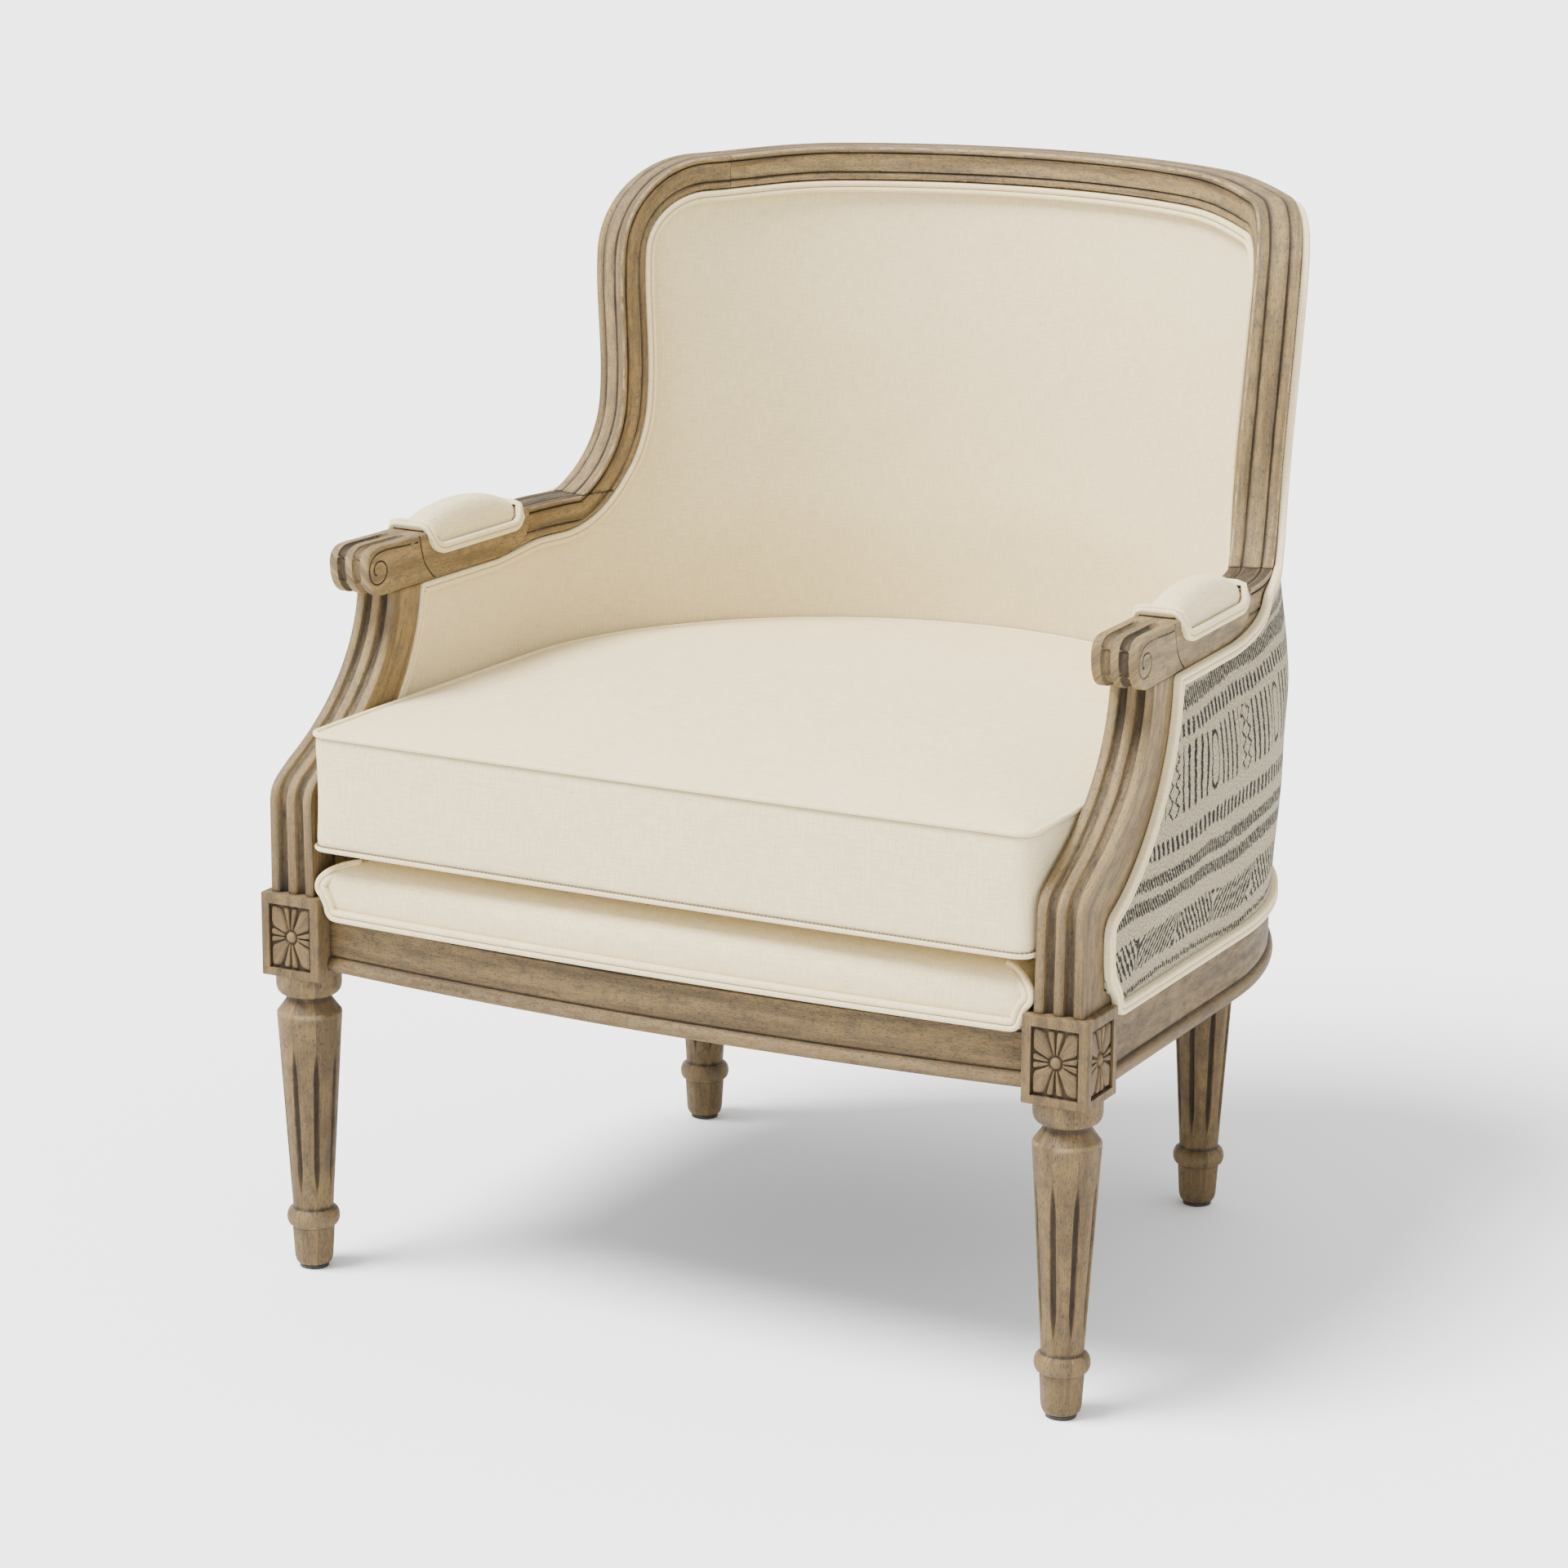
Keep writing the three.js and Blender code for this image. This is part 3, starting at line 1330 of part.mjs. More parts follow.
function screwSolid({ seat, way }) {
  const geometry = new THREE.LatheGeometry([
    new THREE.Vector2(0, -screw.headHeight),
    new THREE.Vector2(screw.headRadius, -screw.headHeight / 2),
    new THREE.Vector2(screw.headRadius, 0),
    new THREE.Vector2(screw.shankRadius, 0),
    new THREE.Vector2(screw.shankRadius, screw.length - screw.headRadius),
    new THREE.Vector2(0, screw.length),
  ], 8);
  geometry.applyQuaternion(new THREE.Quaternion().setFromUnitVectors(new THREE.Vector3(0, 1, 0), way));
  geometry.translate(seat.x, seat.y, seat.z);
  return geometry;
}

function frontCornerBlock() {
  const { bottom, height } = cornerBlock;
  const screws = [...frontScrews(), ...sideScrews()];
  const body = slabFromPlan(frontCornerBlockPlan(), bottom, bottom + height);
  return cut(body, ...screwHoles(screws), ...headHoles(screws));
}

function rearCornerBlock() {
  const { bottom, height, rearSpan, rearDepth } = cornerBlock;
  const body = wallSlab(
    railJoint - rearSpan, railJoint + rearSpan, bottom, bottom + height,
    rail.depth + gap, rail.depth + rearDepth, 4);
  return cut(body, ...screwHoles(rearScrews()), ...headHoles(rearScrews()));
}

// Seat

// Plan of the well between the rails or the lining, at a depth inside the horseshoe
function wellPlan(depth, height, frontHalf, front, bow) {
  const rearOfBlock = halfBlock + deck.blockClear;
  const stations = [
    ...steps(stationAt(rearOfBlock, height), straightStation, 2),
    ...steps(straightStation, elbowStation, 3).slice(1),
    ...steps(elbowStation, backStation, 12).slice(1),
  ];
  const right = stations.map((s) => wallPoint(s, height, depth));
  const shape = new THREE.Shape();
  shape.moveTo(-frontHalf, front);
  shape.quadraticCurveTo(0, front - 2 * bow, frontHalf, front);
  shape.lineTo(frontHalf, rearOfBlock);
  for (const p of right) shape.lineTo(p.x, p.y);
  for (const p of [...right].reverse().slice(1)) shape.lineTo(-p.x, p.y);
  shape.lineTo(-frontHalf, rearOfBlock);
  return shape;
}

const wellFront = blockInner - deck.blockClear;
const longWebBottom = rail.ledge + gap;
const crossWebBottom = longWebBottom + web.thickness + gap;

function webWell(bottom) {
  const well = wellPlan(web.inset, rail.ledge, wellFront, web.start, 0);
  return slabFromPlan(well, bottom, bottom + web.thickness);
}

function longWeb(x) {
  const strip = box(
    x - web.width / 2, x + web.width / 2, -leg.block, 2 * plan.seatRadius, longWebBottom - overrun,
    longWebBottom + web.thickness + overrun);
  return common(strip, webWell(longWebBottom));
}

function crossWeb(y) {
  const strip = box(
    -plan.seatRadius, plan.seatRadius, y - web.width / 2, y + web.width / 2, crossWebBottom - overrun,
    crossWebBottom + web.thickness + overrun);
  return common(strip, webWell(crossWebBottom));
}

function deckSolid() {
  const well = wellPlan(deck.inset, deck.top, wellFront, -deck.front, deck.bow);
  const main = slabFromPlan(well, seatBase, deck.top);
  const lipPlan = bowedPlan(deck.front, wellFront, web.start - deck.blockClear, deck.bow);
  return joined(main, slabFromPlan(lipPlan, rail.ledge + gap, seatBase + overrun));
}

function deckWeltSolid() {
  const half = wellFront - deckWelt.endClear;
  const bottom = rail.ledge + gap;
  const low = half - deckWelt.height;
  const line = [
    new THREE.Vector2(-half, bottom + deckWelt.riseRun + deckWelt.rise),
    new THREE.Vector2(-half, bottom + deckWelt.height),
    ...steps(-low, low, 12).map((x) => new THREE.Vector2(x, bottom)),
    new THREE.Vector2(half, bottom + deckWelt.height),
    new THREE.Vector2(half, bottom + deckWelt.riseRun + deckWelt.rise),
  ];
  const { height, thickness } = deckWelt;
  const section = [[0, 0], [0, thickness / 2], [height / 4, thickness], [height / 2, thickness * 0.65],
    [height * 3 / 4, thickness], [height, thickness / 2], [height, 0]]
    .map(([across, out]) => new THREE.Vector2(across, out));
  const lanes = section.map((q) => movedRight(line, -q.x));
  const face = (x) => -deck.front - deck.bow * (1 - (x / wellFront) ** 2) - weltLift;
  const rings = line.map((_, i) => section.map((q, k) => (
    new THREE.Vector3(lanes[k][i].x, face(lanes[k][i].x) - q.y, lanes[k][i].y))));
  return loft(rings, section);
}

// Outline of the cushion, anticlockwise from the middle of its front
function cushionOutline() {
  const { front, bow, sideClear, cornerRadius: round, inset } = cushion;
  const halfWidth = plan.seatRadius - post.width - sideClear;
  const height = plan.backHeight;
  const right = [];
  for (const x of steps(0, halfWidth - round, 3)) {
    right.push(new THREE.Vector2(x, -front - bow * (1 - (x / halfWidth) ** 2)));
  }
  for (const angle of steps(-Math.PI / 2, 0, 3).slice(1)) {
    right.push(new THREE.Vector2(
      halfWidth - round + round * Math.cos(angle), round - front + round * Math.sin(angle)));
  }
  const stations = [
    ...steps(stationAt(halfBlock + round, height), straightStation, 3),
    ...steps(straightStation, elbowStation, 2).slice(1),
    ...steps(elbowStation, backStation, 7).slice(1),
  ];
  for (const s of stations) {
    const p = wallPoint(s, height, inset);
    right.push(new THREE.Vector2(Math.min(p.x, halfWidth), p.y));
  }
  const left = right.slice(1, -1).reverse().map((p) => new THREE.Vector2(-p.x, p.y));
  return [...right, ...left];
}

// Box cushion: corded seams above and below, sides drawn in a little and a crown on top
function cushionSolid() {
  const outline = cushionOutline();
  const centre = outline.reduce((sum, p) => sum.add(p), new THREE.Vector2()).divideScalar(outline.length);
  const { bottom, top, cord, cordHeight: tall, tuck, edgeRound } = cushion;
  const rise = top - bottom;
  const profile = [
    [bottom, -edgeRound], [bottom + tall / 2, -cord], [bottom + tall, 0], [bottom + 2 * tall, -cord],
    [bottom + 3 * tall, -cord], [bottom + rise / 3, -tuck - cord / 2], [top - rise / 3, -tuck - cord / 2],
    [top - 2 * tall, -cord], [top - tall, -cord], [top, 0], [top + tall / 2, -cord], [top + tall, -edgeRound],
  ];
  const rings = profile.map(([z, out]) => (
    movedRight(outline, out, true).map((p) => new THREE.Vector3(p.x, p.y, z))));
  for (const share of crownShares) {
    const height = top + tall + (cushion.crown - tall) * Math.sqrt(1 - share ** 2);
    rings.push(outline.map((p) => {
      const q = centre.clone().lerp(p, share);
      return new THREE.Vector3(q.x, q.y, height);
    }));
  }
  return loft(rings, outline);
}

// Arm pad: domed over the scooped seat in the arm, with a welt round its foot
const padFront = arm.padStart + pad.endSet;
const padRear = arm.padEnd - pad.endSet;

function armPoint(y, height, depth) {
  return wallPoint(stationAt(y, height), height, depth);
}

function padSolid() {
  const middle = arm.depth / 2;
  const halfWidth = middle - pad.sideSet;
  const arch = steps(0, Math.PI, 8);
  const section = arch.map((a) => new THREE.Vector2(
    -Math.sign(Math.cos(a)) * Math.abs(Math.cos(a)) ** 0.6, Math.sin(a) ** 0.75));
  const seat = scoopPlaces.map((y) => new THREE.Vector2(y, armTopAt(y)));
  const inside = scoopPlaces.filter((y) => y > padFront && y < padRear);
  const level = steps(scoopFrontEnd, scoopRearStart, 6).slice(1, -1);
  const rings = [padFront, ...inside, ...level, padRear].sort((a, b) => a - b).map((y) => {
    const t = (2 * y - padFront - padRear) / (padRear - padFront);
    const foot = crossing(seat, y, 'x', 'y') + gap;
    const end = armTop + pad.edgeHeight / 3;
    const crown = mix(end, armTop + pad.crownRise, Math.sqrt(1 - (t * 0.995) ** 4));
    return section.map((p) => armPoint(y, foot + (crown - foot) * p.y, middle + halfWidth * p.x));
  });
  return loft(rings, section);
}

function padWeltSolid() {
  const off = padWelt.radius + gap;
  const low = armPadSeat + padWelt.sideRise;
  const climb = (y, top, end, run) => {
    const share = THREE.MathUtils.clamp(Math.abs(y - end) / run, 0, 1);
    return new THREE.Vector3(y, mix(top, low, Math.sin((Math.PI / 2) * share)), -off);
  };
  const frontY = padFront - off;
  const rearY = padRear + off;
  const frontRun = scoopFrontEnd + off - frontY;
  const rearRun = rearY - scoopRearStart + off;
  const outerSide = [
    ...steps(frontY, frontY + frontRun, 3).map((y) => climb(y, armTop, frontY, frontRun)),
    ...steps(rearY - rearRun, rearY, 3).map((y) => climb(y, jointHeight, rearY, rearRun)),
  ];
  const over = (y, top) => steps(Math.PI, Math.PI / 2, 2).slice(1)
    .map((a) => new THREE.Vector3(y, top + off * Math.sin(a), off * Math.cos(a)));
  const acrossArm = (p) => new THREE.Vector3(p.x, p.y, arm.depth - p.z);
  const half = [
    new THREE.Vector3(frontY, armTop + off, arm.depth / 2),
    ...over(frontY, armTop).reverse(), ...outerSide, ...over(rearY, jointHeight),
    new THREE.Vector3(rearY, jointHeight + off, arm.depth / 2),
  ];
  const loop = [...half, ...half.slice(1, -1).reverse().map(acrossArm)];
  const path = loop.map((p) => armPoint(p.x, p.y, p.z));
  const centre = armPoint((padFront + padRear) / 2, low, arm.depth / 2);
  const section = steps(0, 2 * Math.PI, 6).slice(0, -1)
    .map((a) => new THREE.Vector2(padWelt.radius * Math.cos(a), padWelt.radius * Math.sin(a)));
  const rings = path.map((p, i) => {
    const before = path[(i - 1 + path.length) % path.length];
    const after = path[(i + 1) % path.length];
    const along = new THREE.Vector3().subVectors(after, before).normalize();
    const out = new THREE.Vector3().subVectors(p, centre);
    out.addScaledVector(along, -out.dot(along)).normalize();
    const side = new THREE.Vector3().crossVectors(along, out);
    return section.map((q) => p.clone().addScaledVector(out, q.x).addScaledVector(side, q.y));
  });
  return loft(rings, section, true);
}

function dustCoverSolid() {
  const top = rail.bottom - gap;
  const sheet = slabFromPlan(
    wellPlan(dustCover.inset, rail.bottom, wellFront, dustCover.frontSet, 0), top - dustCover.thickness, top);
  const collar = upCylinder(leg.collarRadius + dustCover.legPlay, top - 2 * overrun, top + overrun, 24);
  collar.translate(rearLegX, rearLegY, 0);
  return cut(sheet, collar, mirrored(collar));
}

// Assembly
const chair = new THREE.Group();

function add(name, geometry, material) {
  const clean = welded(geometry);
  clean.computeVertexNormals();
  const mesh = new THREE.Mesh(clean, material);
  mesh.name = name;
  chair.add(mesh);
  return mesh;
}

function addPair(name, geometry, material) {
  add(`${name}_right`, geometry, material);
  add(`${name}_left`, mirrored(geometry), material);
}

add('front_rail', frontRailSolid(), materials.wood);
add('back_rail', backRailSolid(), materials.wood);
addPair('side_rail', sideRailSolid(), materials.wood);

const frontLeg = frontLegSolid().translate(legX, 0, 0);
const rearLeg = rearLegSolid().translate(rearLegX, rearLegY, 0);
addPair('front_leg', frontLeg, materials.wood);
addPair('back_leg', rearLeg, materials.wood);
addPair('front_glide', glideSolid().translate(legX, 0, 0), materials.nylon);
addPair('back_glide', glideSolid().translate(rearLegX, rearLegY, 0), materials.nylon);

addPair('arm_post', postSolid(), materials.wood);
addPair('arm', armSolid(), materials.wood);
addPair('back_stile', stileSolid(), materials.wood);
add('top_rail', crestSolid(), materials.wood);
addPair('arm_dowel', armDowel(dowel.radius, 0), materials.beech);
addPair('top_rail_dowel', crestDowel(dowel.radius, 0), materials.beech);

const elbowUpright = uprightSolid(elbowStation - upright.elbowSet, elbowUprightTop, elbowUprightTenons(0));
const backUpright = uprightSolid(elbowStation + upright.backOut, backUprightTop, backUprightTenons(0));
addPair('elbow_upright', elbowUpright, materials.beech);
addPair('back_upright', backUpright, materials.beech);

addPair('front_corner_block', frontCornerBlock(), materials.beech);
addPair('back_corner_block', rearCornerBlock(), materials.beech);
[...frontScrews(), ...sideScrews()].forEach((place, i) => {
  addPair(`front_block_screw_${i + 1}`, screwSolid(place), materials.steel);
});
rearScrews().forEach((place, i) => addPair(`back_block_screw_${i + 1}`, screwSolid(place), materials.steel));

[-1.5, -0.5, 0.5, 1.5].forEach((share, i) => {
  add(`long_webbing_${i + 1}`, longWeb(share * web.pitch), materials.webbing);
});
[0, 1, 2].forEach((i) => {
  add(`cross_webbing_${i + 1}`, crossWeb(web.crossStart + i * web.crossPitch), materials.webbing);
});
add('dust_cover', dustCoverSolid(), materials.dustCloth);
add('seat_deck', deckSolid(), materials.canvas);
add('deck_welt', deckWeltSolid(), materials.canvas);
add('seat_cushion', cushionSolid(), materials.canvas);

add('inner_lining', innerLining(), materials.canvas);
add('inner_welt', innerWelt(), materials.canvas);
add('outer_cover', outerCover(), materials.woven);
add('outer_welt', outerWelt(), materials.canvas);
addPair('arm_pad', padSolid(), materials.canvas);
addPair('arm_pad_welt', padWeltSolid(), materials.canvas);

// The part's origin is under the middle of its bounding box
const bounds = new THREE.Box3().setFromObject(chair);
const middle = bounds.getCenter(new THREE.Vector3());
chair.position.set(-middle.x, -middle.y, -bounds.min.z);

export default chair;
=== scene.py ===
import json
import math
import bmesh
import bpy
from mathutils import Matrix, Vector, noise
from mathutils.geometry import interpolate_bezier
from mathutils.kdtree import KDTree


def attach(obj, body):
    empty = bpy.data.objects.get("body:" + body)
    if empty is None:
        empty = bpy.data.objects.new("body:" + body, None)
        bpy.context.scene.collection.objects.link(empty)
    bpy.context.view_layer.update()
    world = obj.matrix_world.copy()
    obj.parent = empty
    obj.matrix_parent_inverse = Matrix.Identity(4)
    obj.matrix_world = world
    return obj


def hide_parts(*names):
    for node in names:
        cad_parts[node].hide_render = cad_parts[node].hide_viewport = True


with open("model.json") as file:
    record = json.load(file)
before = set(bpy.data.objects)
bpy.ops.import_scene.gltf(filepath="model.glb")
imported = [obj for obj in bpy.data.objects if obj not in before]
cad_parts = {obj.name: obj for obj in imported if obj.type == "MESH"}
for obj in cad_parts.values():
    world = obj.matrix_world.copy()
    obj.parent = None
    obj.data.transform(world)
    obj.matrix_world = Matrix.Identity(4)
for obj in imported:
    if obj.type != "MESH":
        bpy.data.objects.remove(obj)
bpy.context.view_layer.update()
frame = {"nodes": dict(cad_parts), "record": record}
print("frame loaded")

# Sizes are in millimetres, with y from the front legs' axes, until placed() puts them in the row frame
mm = 0.001
rowShift = -324.472
centimetre = 10


def placed(x, y, z):
    return Vector((x, y + rowShift, z)) * mm


def mix(a, b, share):
    return a + (b - a) * share


def clamp(value, low=0.0, high=1.0):
    return max(low, min(high, value))


def eased(share):
    share = clamp(share)
    return share * share * (3 - 2 * share)


def steps(start, end, count):
    return [mix(start, end, i / count) for i in range(count + 1)]


# ---- Camera, first, because it is where the photograph was taken from
viewpoint = {"lens": 107.217, "azimuth": 27.715, "elevation": 14.57, "roll": 0.406, "place": (1680.8, -3017.0, 1348.0)}


def makeCamera():
    azimuth, elevation, roll = (math.radians(viewpoint[k]) for k in ("azimuth", "elevation", "roll"))
    back = Vector((
        math.sin(azimuth) * math.cos(elevation), -math.cos(azimuth) * math.cos(elevation), math.sin(elevation)))
    level = Vector((math.cos(azimuth), math.sin(azimuth), 0))
    above = level.cross(-back)
    right = level * math.cos(roll) + above * math.sin(roll)
    up = above * math.cos(roll) - level * math.sin(roll)
    data = bpy.data.cameras.new("camera")
    data.lens = viewpoint["lens"]
    data.sensor_width = 36
    data.clip_end = 50
    camera = bpy.data.objects.new("camera", data)
    bpy.context.scene.collection.objects.link(camera)
    place = Matrix((right, up, back)).transposed().to_4x4()
    place.translation = placed(*viewpoint["place"])
    camera.matrix_world = place
    bpy.context.scene.camera = camera


makeCamera()
print("camera placed")

# ---- Shader wiring


def wire(tree, kind, inputs=None, **settings):
    made = tree.nodes.new(kind)
    for name, value in settings.items():
        setattr(made, name, value)
    for name, value in (inputs or {}).items():
        socket = made.inputs[name]
        if isinstance(value, bpy.types.NodeSocket):
            tree.links.new(value, socket)
        else:
            socket.default_value = value
    return made


def sums(tree, operation, *values):
    return wire(tree, "ShaderNodeMath", dict(enumerate(values)), operation=operation).outputs[0]


def between(tree, value, low, high, toLow=0.0, toHigh=1.0):
    made = wire(tree, "ShaderNodeMapRange", {
        "Value": value, "From Min": low, "From Max": high, "To Min": toLow, "To Max": toHigh,
    }, interpolation_type="SMOOTHSTEP")
    return made.outputs["Result"]


def blended(tree, share, a, b, kind="MIX"):
    made = wire(tree, "ShaderNodeMix", data_type="RGBA", blend_type=kind)
    for socket, value in ((made.inputs[0], share), (made.inputs[6], a), (made.inputs[7], b)):
        if isinstance(value, bpy.types.NodeSocket):
            tree.links.new(value, socket)
        else:
            socket.default_value = value
    return made.outputs[2]


def stretched(tree, vector, x, y, z=1.0):
    return wire(tree, "ShaderNodeMapping", {"Vector": vector, "Scale": (x, y, z)}).outputs[0]


def cloudy(tree, vector, scale, detail=4.0, roughness=0.5):
    made = wire(tree, "ShaderNodeTexNoise", {
        "Vector": vector, "Scale": scale, "Detail": detail, "Roughness": roughness}, noise_dimensions="3D")
    return made.outputs["Fac"]


def newGroup(name, inputs, outputs):
    tree = bpy.data.node_groups.new(name, "ShaderNodeTree")
    for label, kind in inputs:
        tree.interface.new_socket(label, in_out="INPUT", socket_type="NodeSocket" + kind)
    for label, kind in outputs:
        tree.interface.new_socket(label, in_out="OUTPUT", socket_type="NodeSocket" + kind)
    return tree, tree.nodes.new("NodeGroupInput").outputs, tree.nodes.new("NodeGroupOutput").inputs


def grouped(tree, group, inputs):
    made = tree.nodes.new("ShaderNodeGroup")
    made.node_tree = group
    for name, value in inputs.items():
        if isinstance(value, bpy.types.NodeSocket):
            tree.links.new(value, made.inputs[name])
        else:
            made.inputs[name].default_value = value
    return made.outputs


def newMaterial(name, **uniform):
    material = bpy.data.materials.new(name)
    material.use_nodes = True
    tree = material.node_tree
    shader = tree.nodes["Principled BSDF"]
    for label, value in uniform.items():
        shader.inputs[label.replace("_", " ")].default_value = value
    return material, tree, shader


def bumped(tree, shader, height, distance, strength=1.0):
    made = wire(tree, "ShaderNodeBump", {"Height": height, "Strength": strength, "Distance": distance})
    tree.links.new(made.outputs["Normal"], shader.inputs["Normal"])


def rgb(red, green, blue):
    def linear(value):
        value = value / 255
        return value / 12.92 if value <= 0.04045 else ((value + 0.055) / 1.055) ** 2.4
    return (linear(red), linear(green), linear(blue), 1)


# ---- Wood: pale and weathered, with a grey-brown glaze in the carving, darkened there also as painted shade
woodLook = {
    "light": rgb(138, 115, 74), "middle": rgb(101, 82, 51), "deep": rgb(63, 48, 28),
    "grey": rgb(93, 85, 70), "glazeAndShade": rgb(27, 18, 10), "worn": rgb(172, 153, 115), "glazeAndShadeShare": 0.86,
    # low, lowTop, lowFull: painted shade multiplied over the wood, from lowTop down to full at lowFull
    "bump": 0.0006, "low": (0.6, 0.56, 0.5, 1), "lowTop": 0.46, "lowFull": 0.3,
}


def makeWoodGroup():
    tree, given, out = newGroup(
        "weatheredWood", [("Vector", "Vector"), ("Carve", "Float")],
        [("Color", "Color"), ("Roughness", "Float"), ("Height", "Float")])
    vector, carve = given["Vector"], given["Carve"]
    streak = cloudy(tree, stretched(tree, vector, 7, 95, 7), 1.0, 5, 0.6)
    fibre = cloudy(tree, stretched(tree, vector, 55, 1500, 55), 1.0, 3, 0.6)
    patch = cloudy(tree, stretched(tree, vector, 9, 26, 9), 1.0, 3, 0.55)
    grime = cloudy(tree, stretched(tree, vector, 60, 130, 60), 1.0, 5, 0.65)
    pores = between(tree, cloudy(tree, stretched(tree, vector, 260, 3200, 260), 1.0, 1), 0.62, 0.72)
    color = blended(tree, between(tree, streak, 0.34, 0.6), woodLook["middle"], woodLook["light"])
    color = blended(tree, between(tree, patch, 0.56, 0.74, 0, 0.55), color, woodLook["deep"])
    color = blended(tree, between(tree, grime, 0.44, 0.7, 0, 0.8), color, woodLook["grey"])
    color = blended(tree, between(tree, fibre, 0.35, 0.65, 0.28, 0.0), color, woodLook["deep"])
    color = blended(tree, sums(tree, "MULTIPLY", pores, 0.5), color, woodLook["glazeAndShade"])
    # Hollows by the carve attribute: real glaze together with painted shade, darkest where carve is highest
    stain = cloudy(tree, stretched(tree, vector, 24, 300, 24), 1.0, 5, 0.6)
    glazeAndShadeMask = sums(tree, "ADD", carve, between(tree, stain, 0.3, 0.7, -0.2, 0.2))
    color = blended(tree, between(tree, glazeAndShadeMask, 0.0, 1.1, 0, woodLook["glazeAndShadeShare"]), color, woodLook["glazeAndShade"])
    worn = sums(tree, "MULTIPLY", between(tree, carve, -0.15, -0.75), between(tree, grime, 0.42, 0.6))
    color = blended(tree, sums(tree, "MULTIPLY", worn, 0.55), color, woodLook["worn"])
    tree.links.new(color, out["Color"])
    tree.links.new(between(tree, grime, 0.3, 0.7, 0.58, 0.78), out["Roughness"])
    height = sums(tree, "SUBTRACT", sums(tree, "MULTIPLY", fibre, 0.5), pores)
    tree.links.new(sums(tree, "ADD", height, sums(tree, "MULTIPLY", grime, 0.8)), out["Height"])
    return tree


woodGroup = makeWoodGroup()


def makeWood():
    material, tree, shader = newMaterial("weathered wood", Specular_IOR_Level=0.35)
    grain = wire(tree, "ShaderNodeUVMap", uv_map="grain").outputs[0]
    carve = wire(tree, "ShaderNodeAttribute", attribute_name="carve").outputs["Fac"]
    made = grouped(tree, woodGroup, {"Vector": grain, "Carve": carve})
    # Painted shade: less light reaches the lower wood, so it is multiplied darker toward the floor
    place = wire(tree, "ShaderNodeTexCoord").outputs["Object"]
    height = wire(tree, "ShaderNodeSeparateXYZ", {"Vector": place}).outputs[2]
    paintedLowShade = between(tree, height, woodLook["lowTop"], woodLook["lowFull"])
    tree.links.new(blended(tree, paintedLowShade, made["Color"], woodLook["low"], "MULTIPLY"), shader.inputs["Base Color"])
    tree.links.new(made["Roughness"], shader.inputs["Roughness"])
    bumped(tree, shader, made["Height"], woodLook["bump"])
    return material


# ---- Cloth: a plain weave with slubs, used by the canvas and under the figured cover
canvasLook = {
    "thread": rgb(226, 211, 170), "shade": rgb(200, 181, 137), "fleck": rgb(128, 100, 62), "pitch": 0.00085,
    # seam: painted shade in welt valleys, along welt feet and on the cushion cords' sides, with stitches
    "seam": rgb(66, 53, 33), "stitch": 0.0017,
}
coverLook = {
    "thread": rgb(170, 160, 134), "shade": rgb(118, 109, 87), "ink": rgb(13, 14, 17), "pitch": 0.0019,
    "repeat": 250, "start": 322,
}


def makeWeaveGroup():
    tree, given, out = newGroup(
        "plainWeave", [("Vector", "Vector"), ("Pitch", "Float")],
        [("Tone", "Float"), ("Fleck", "Float"), ("Height", "Float")])
    vector = given["Vector"]
    waver = cloudy(tree, stretched(tree, vector, 60, 60, 60), 1.0, 2)
    parts = wire(tree, "ShaderNodeSeparateXYZ", {"Vector": vector}).outputs
    shift = sums(tree, "MULTIPLY", waver, 0.0012)
    turn = sums(tree, "DIVIDE", math.pi, given["Pitch"])
    across = sums(tree, "SINE", sums(tree, "MULTIPLY", sums(tree, "ADD", parts[0], shift), turn))
    along = sums(tree, "SINE", sums(tree, "MULTIPLY", sums(tree, "ADD", parts[1], shift), turn))
    weave = sums(tree, "MULTIPLY", across, along)
    warp = cloudy(tree, stretched(tree, vector, 70, 1300, 700), 1.0, 2)
    weft = cloudy(tree, stretched(tree, vector, 1300, 70, 700), 1.0, 2)
    slub = sums(tree, "ADD", warp, weft)
    cloud = cloudy(tree, stretched(tree, vector, 16, 16, 16), 1.0, 3)
    tone = sums(tree, "ADD", between(tree, slub, 0.72, 1.28, 0.1, 0.75), sums(tree, "MULTIPLY", cloud, 0.25))
    tree.links.new(sums(tree, "ADD", tone, sums(tree, "MULTIPLY", weave, 0.1)), out["Tone"])
    seeds = wire(tree, "ShaderNodeTexVoronoi", {"Vector": vector, "Scale": 170.0}, feature="F1")
    speck = between(tree, seeds.outputs["Distance"], 0.13, 0.05)
    chosen = between(tree, wire(tree, "ShaderNodeSeparateColor", {"Color": seeds.outputs["Color"]}).outputs[0], 0.8, 0.9)
    tree.links.new(sums(tree, "MULTIPLY", speck, chosen), out["Fleck"])
    tree.links.new(sums(tree, "ADD", sums(tree, "MULTIPLY", weave, 0.5), slub), out["Height"])
    return tree


weaveGroup = makeWeaveGroup()


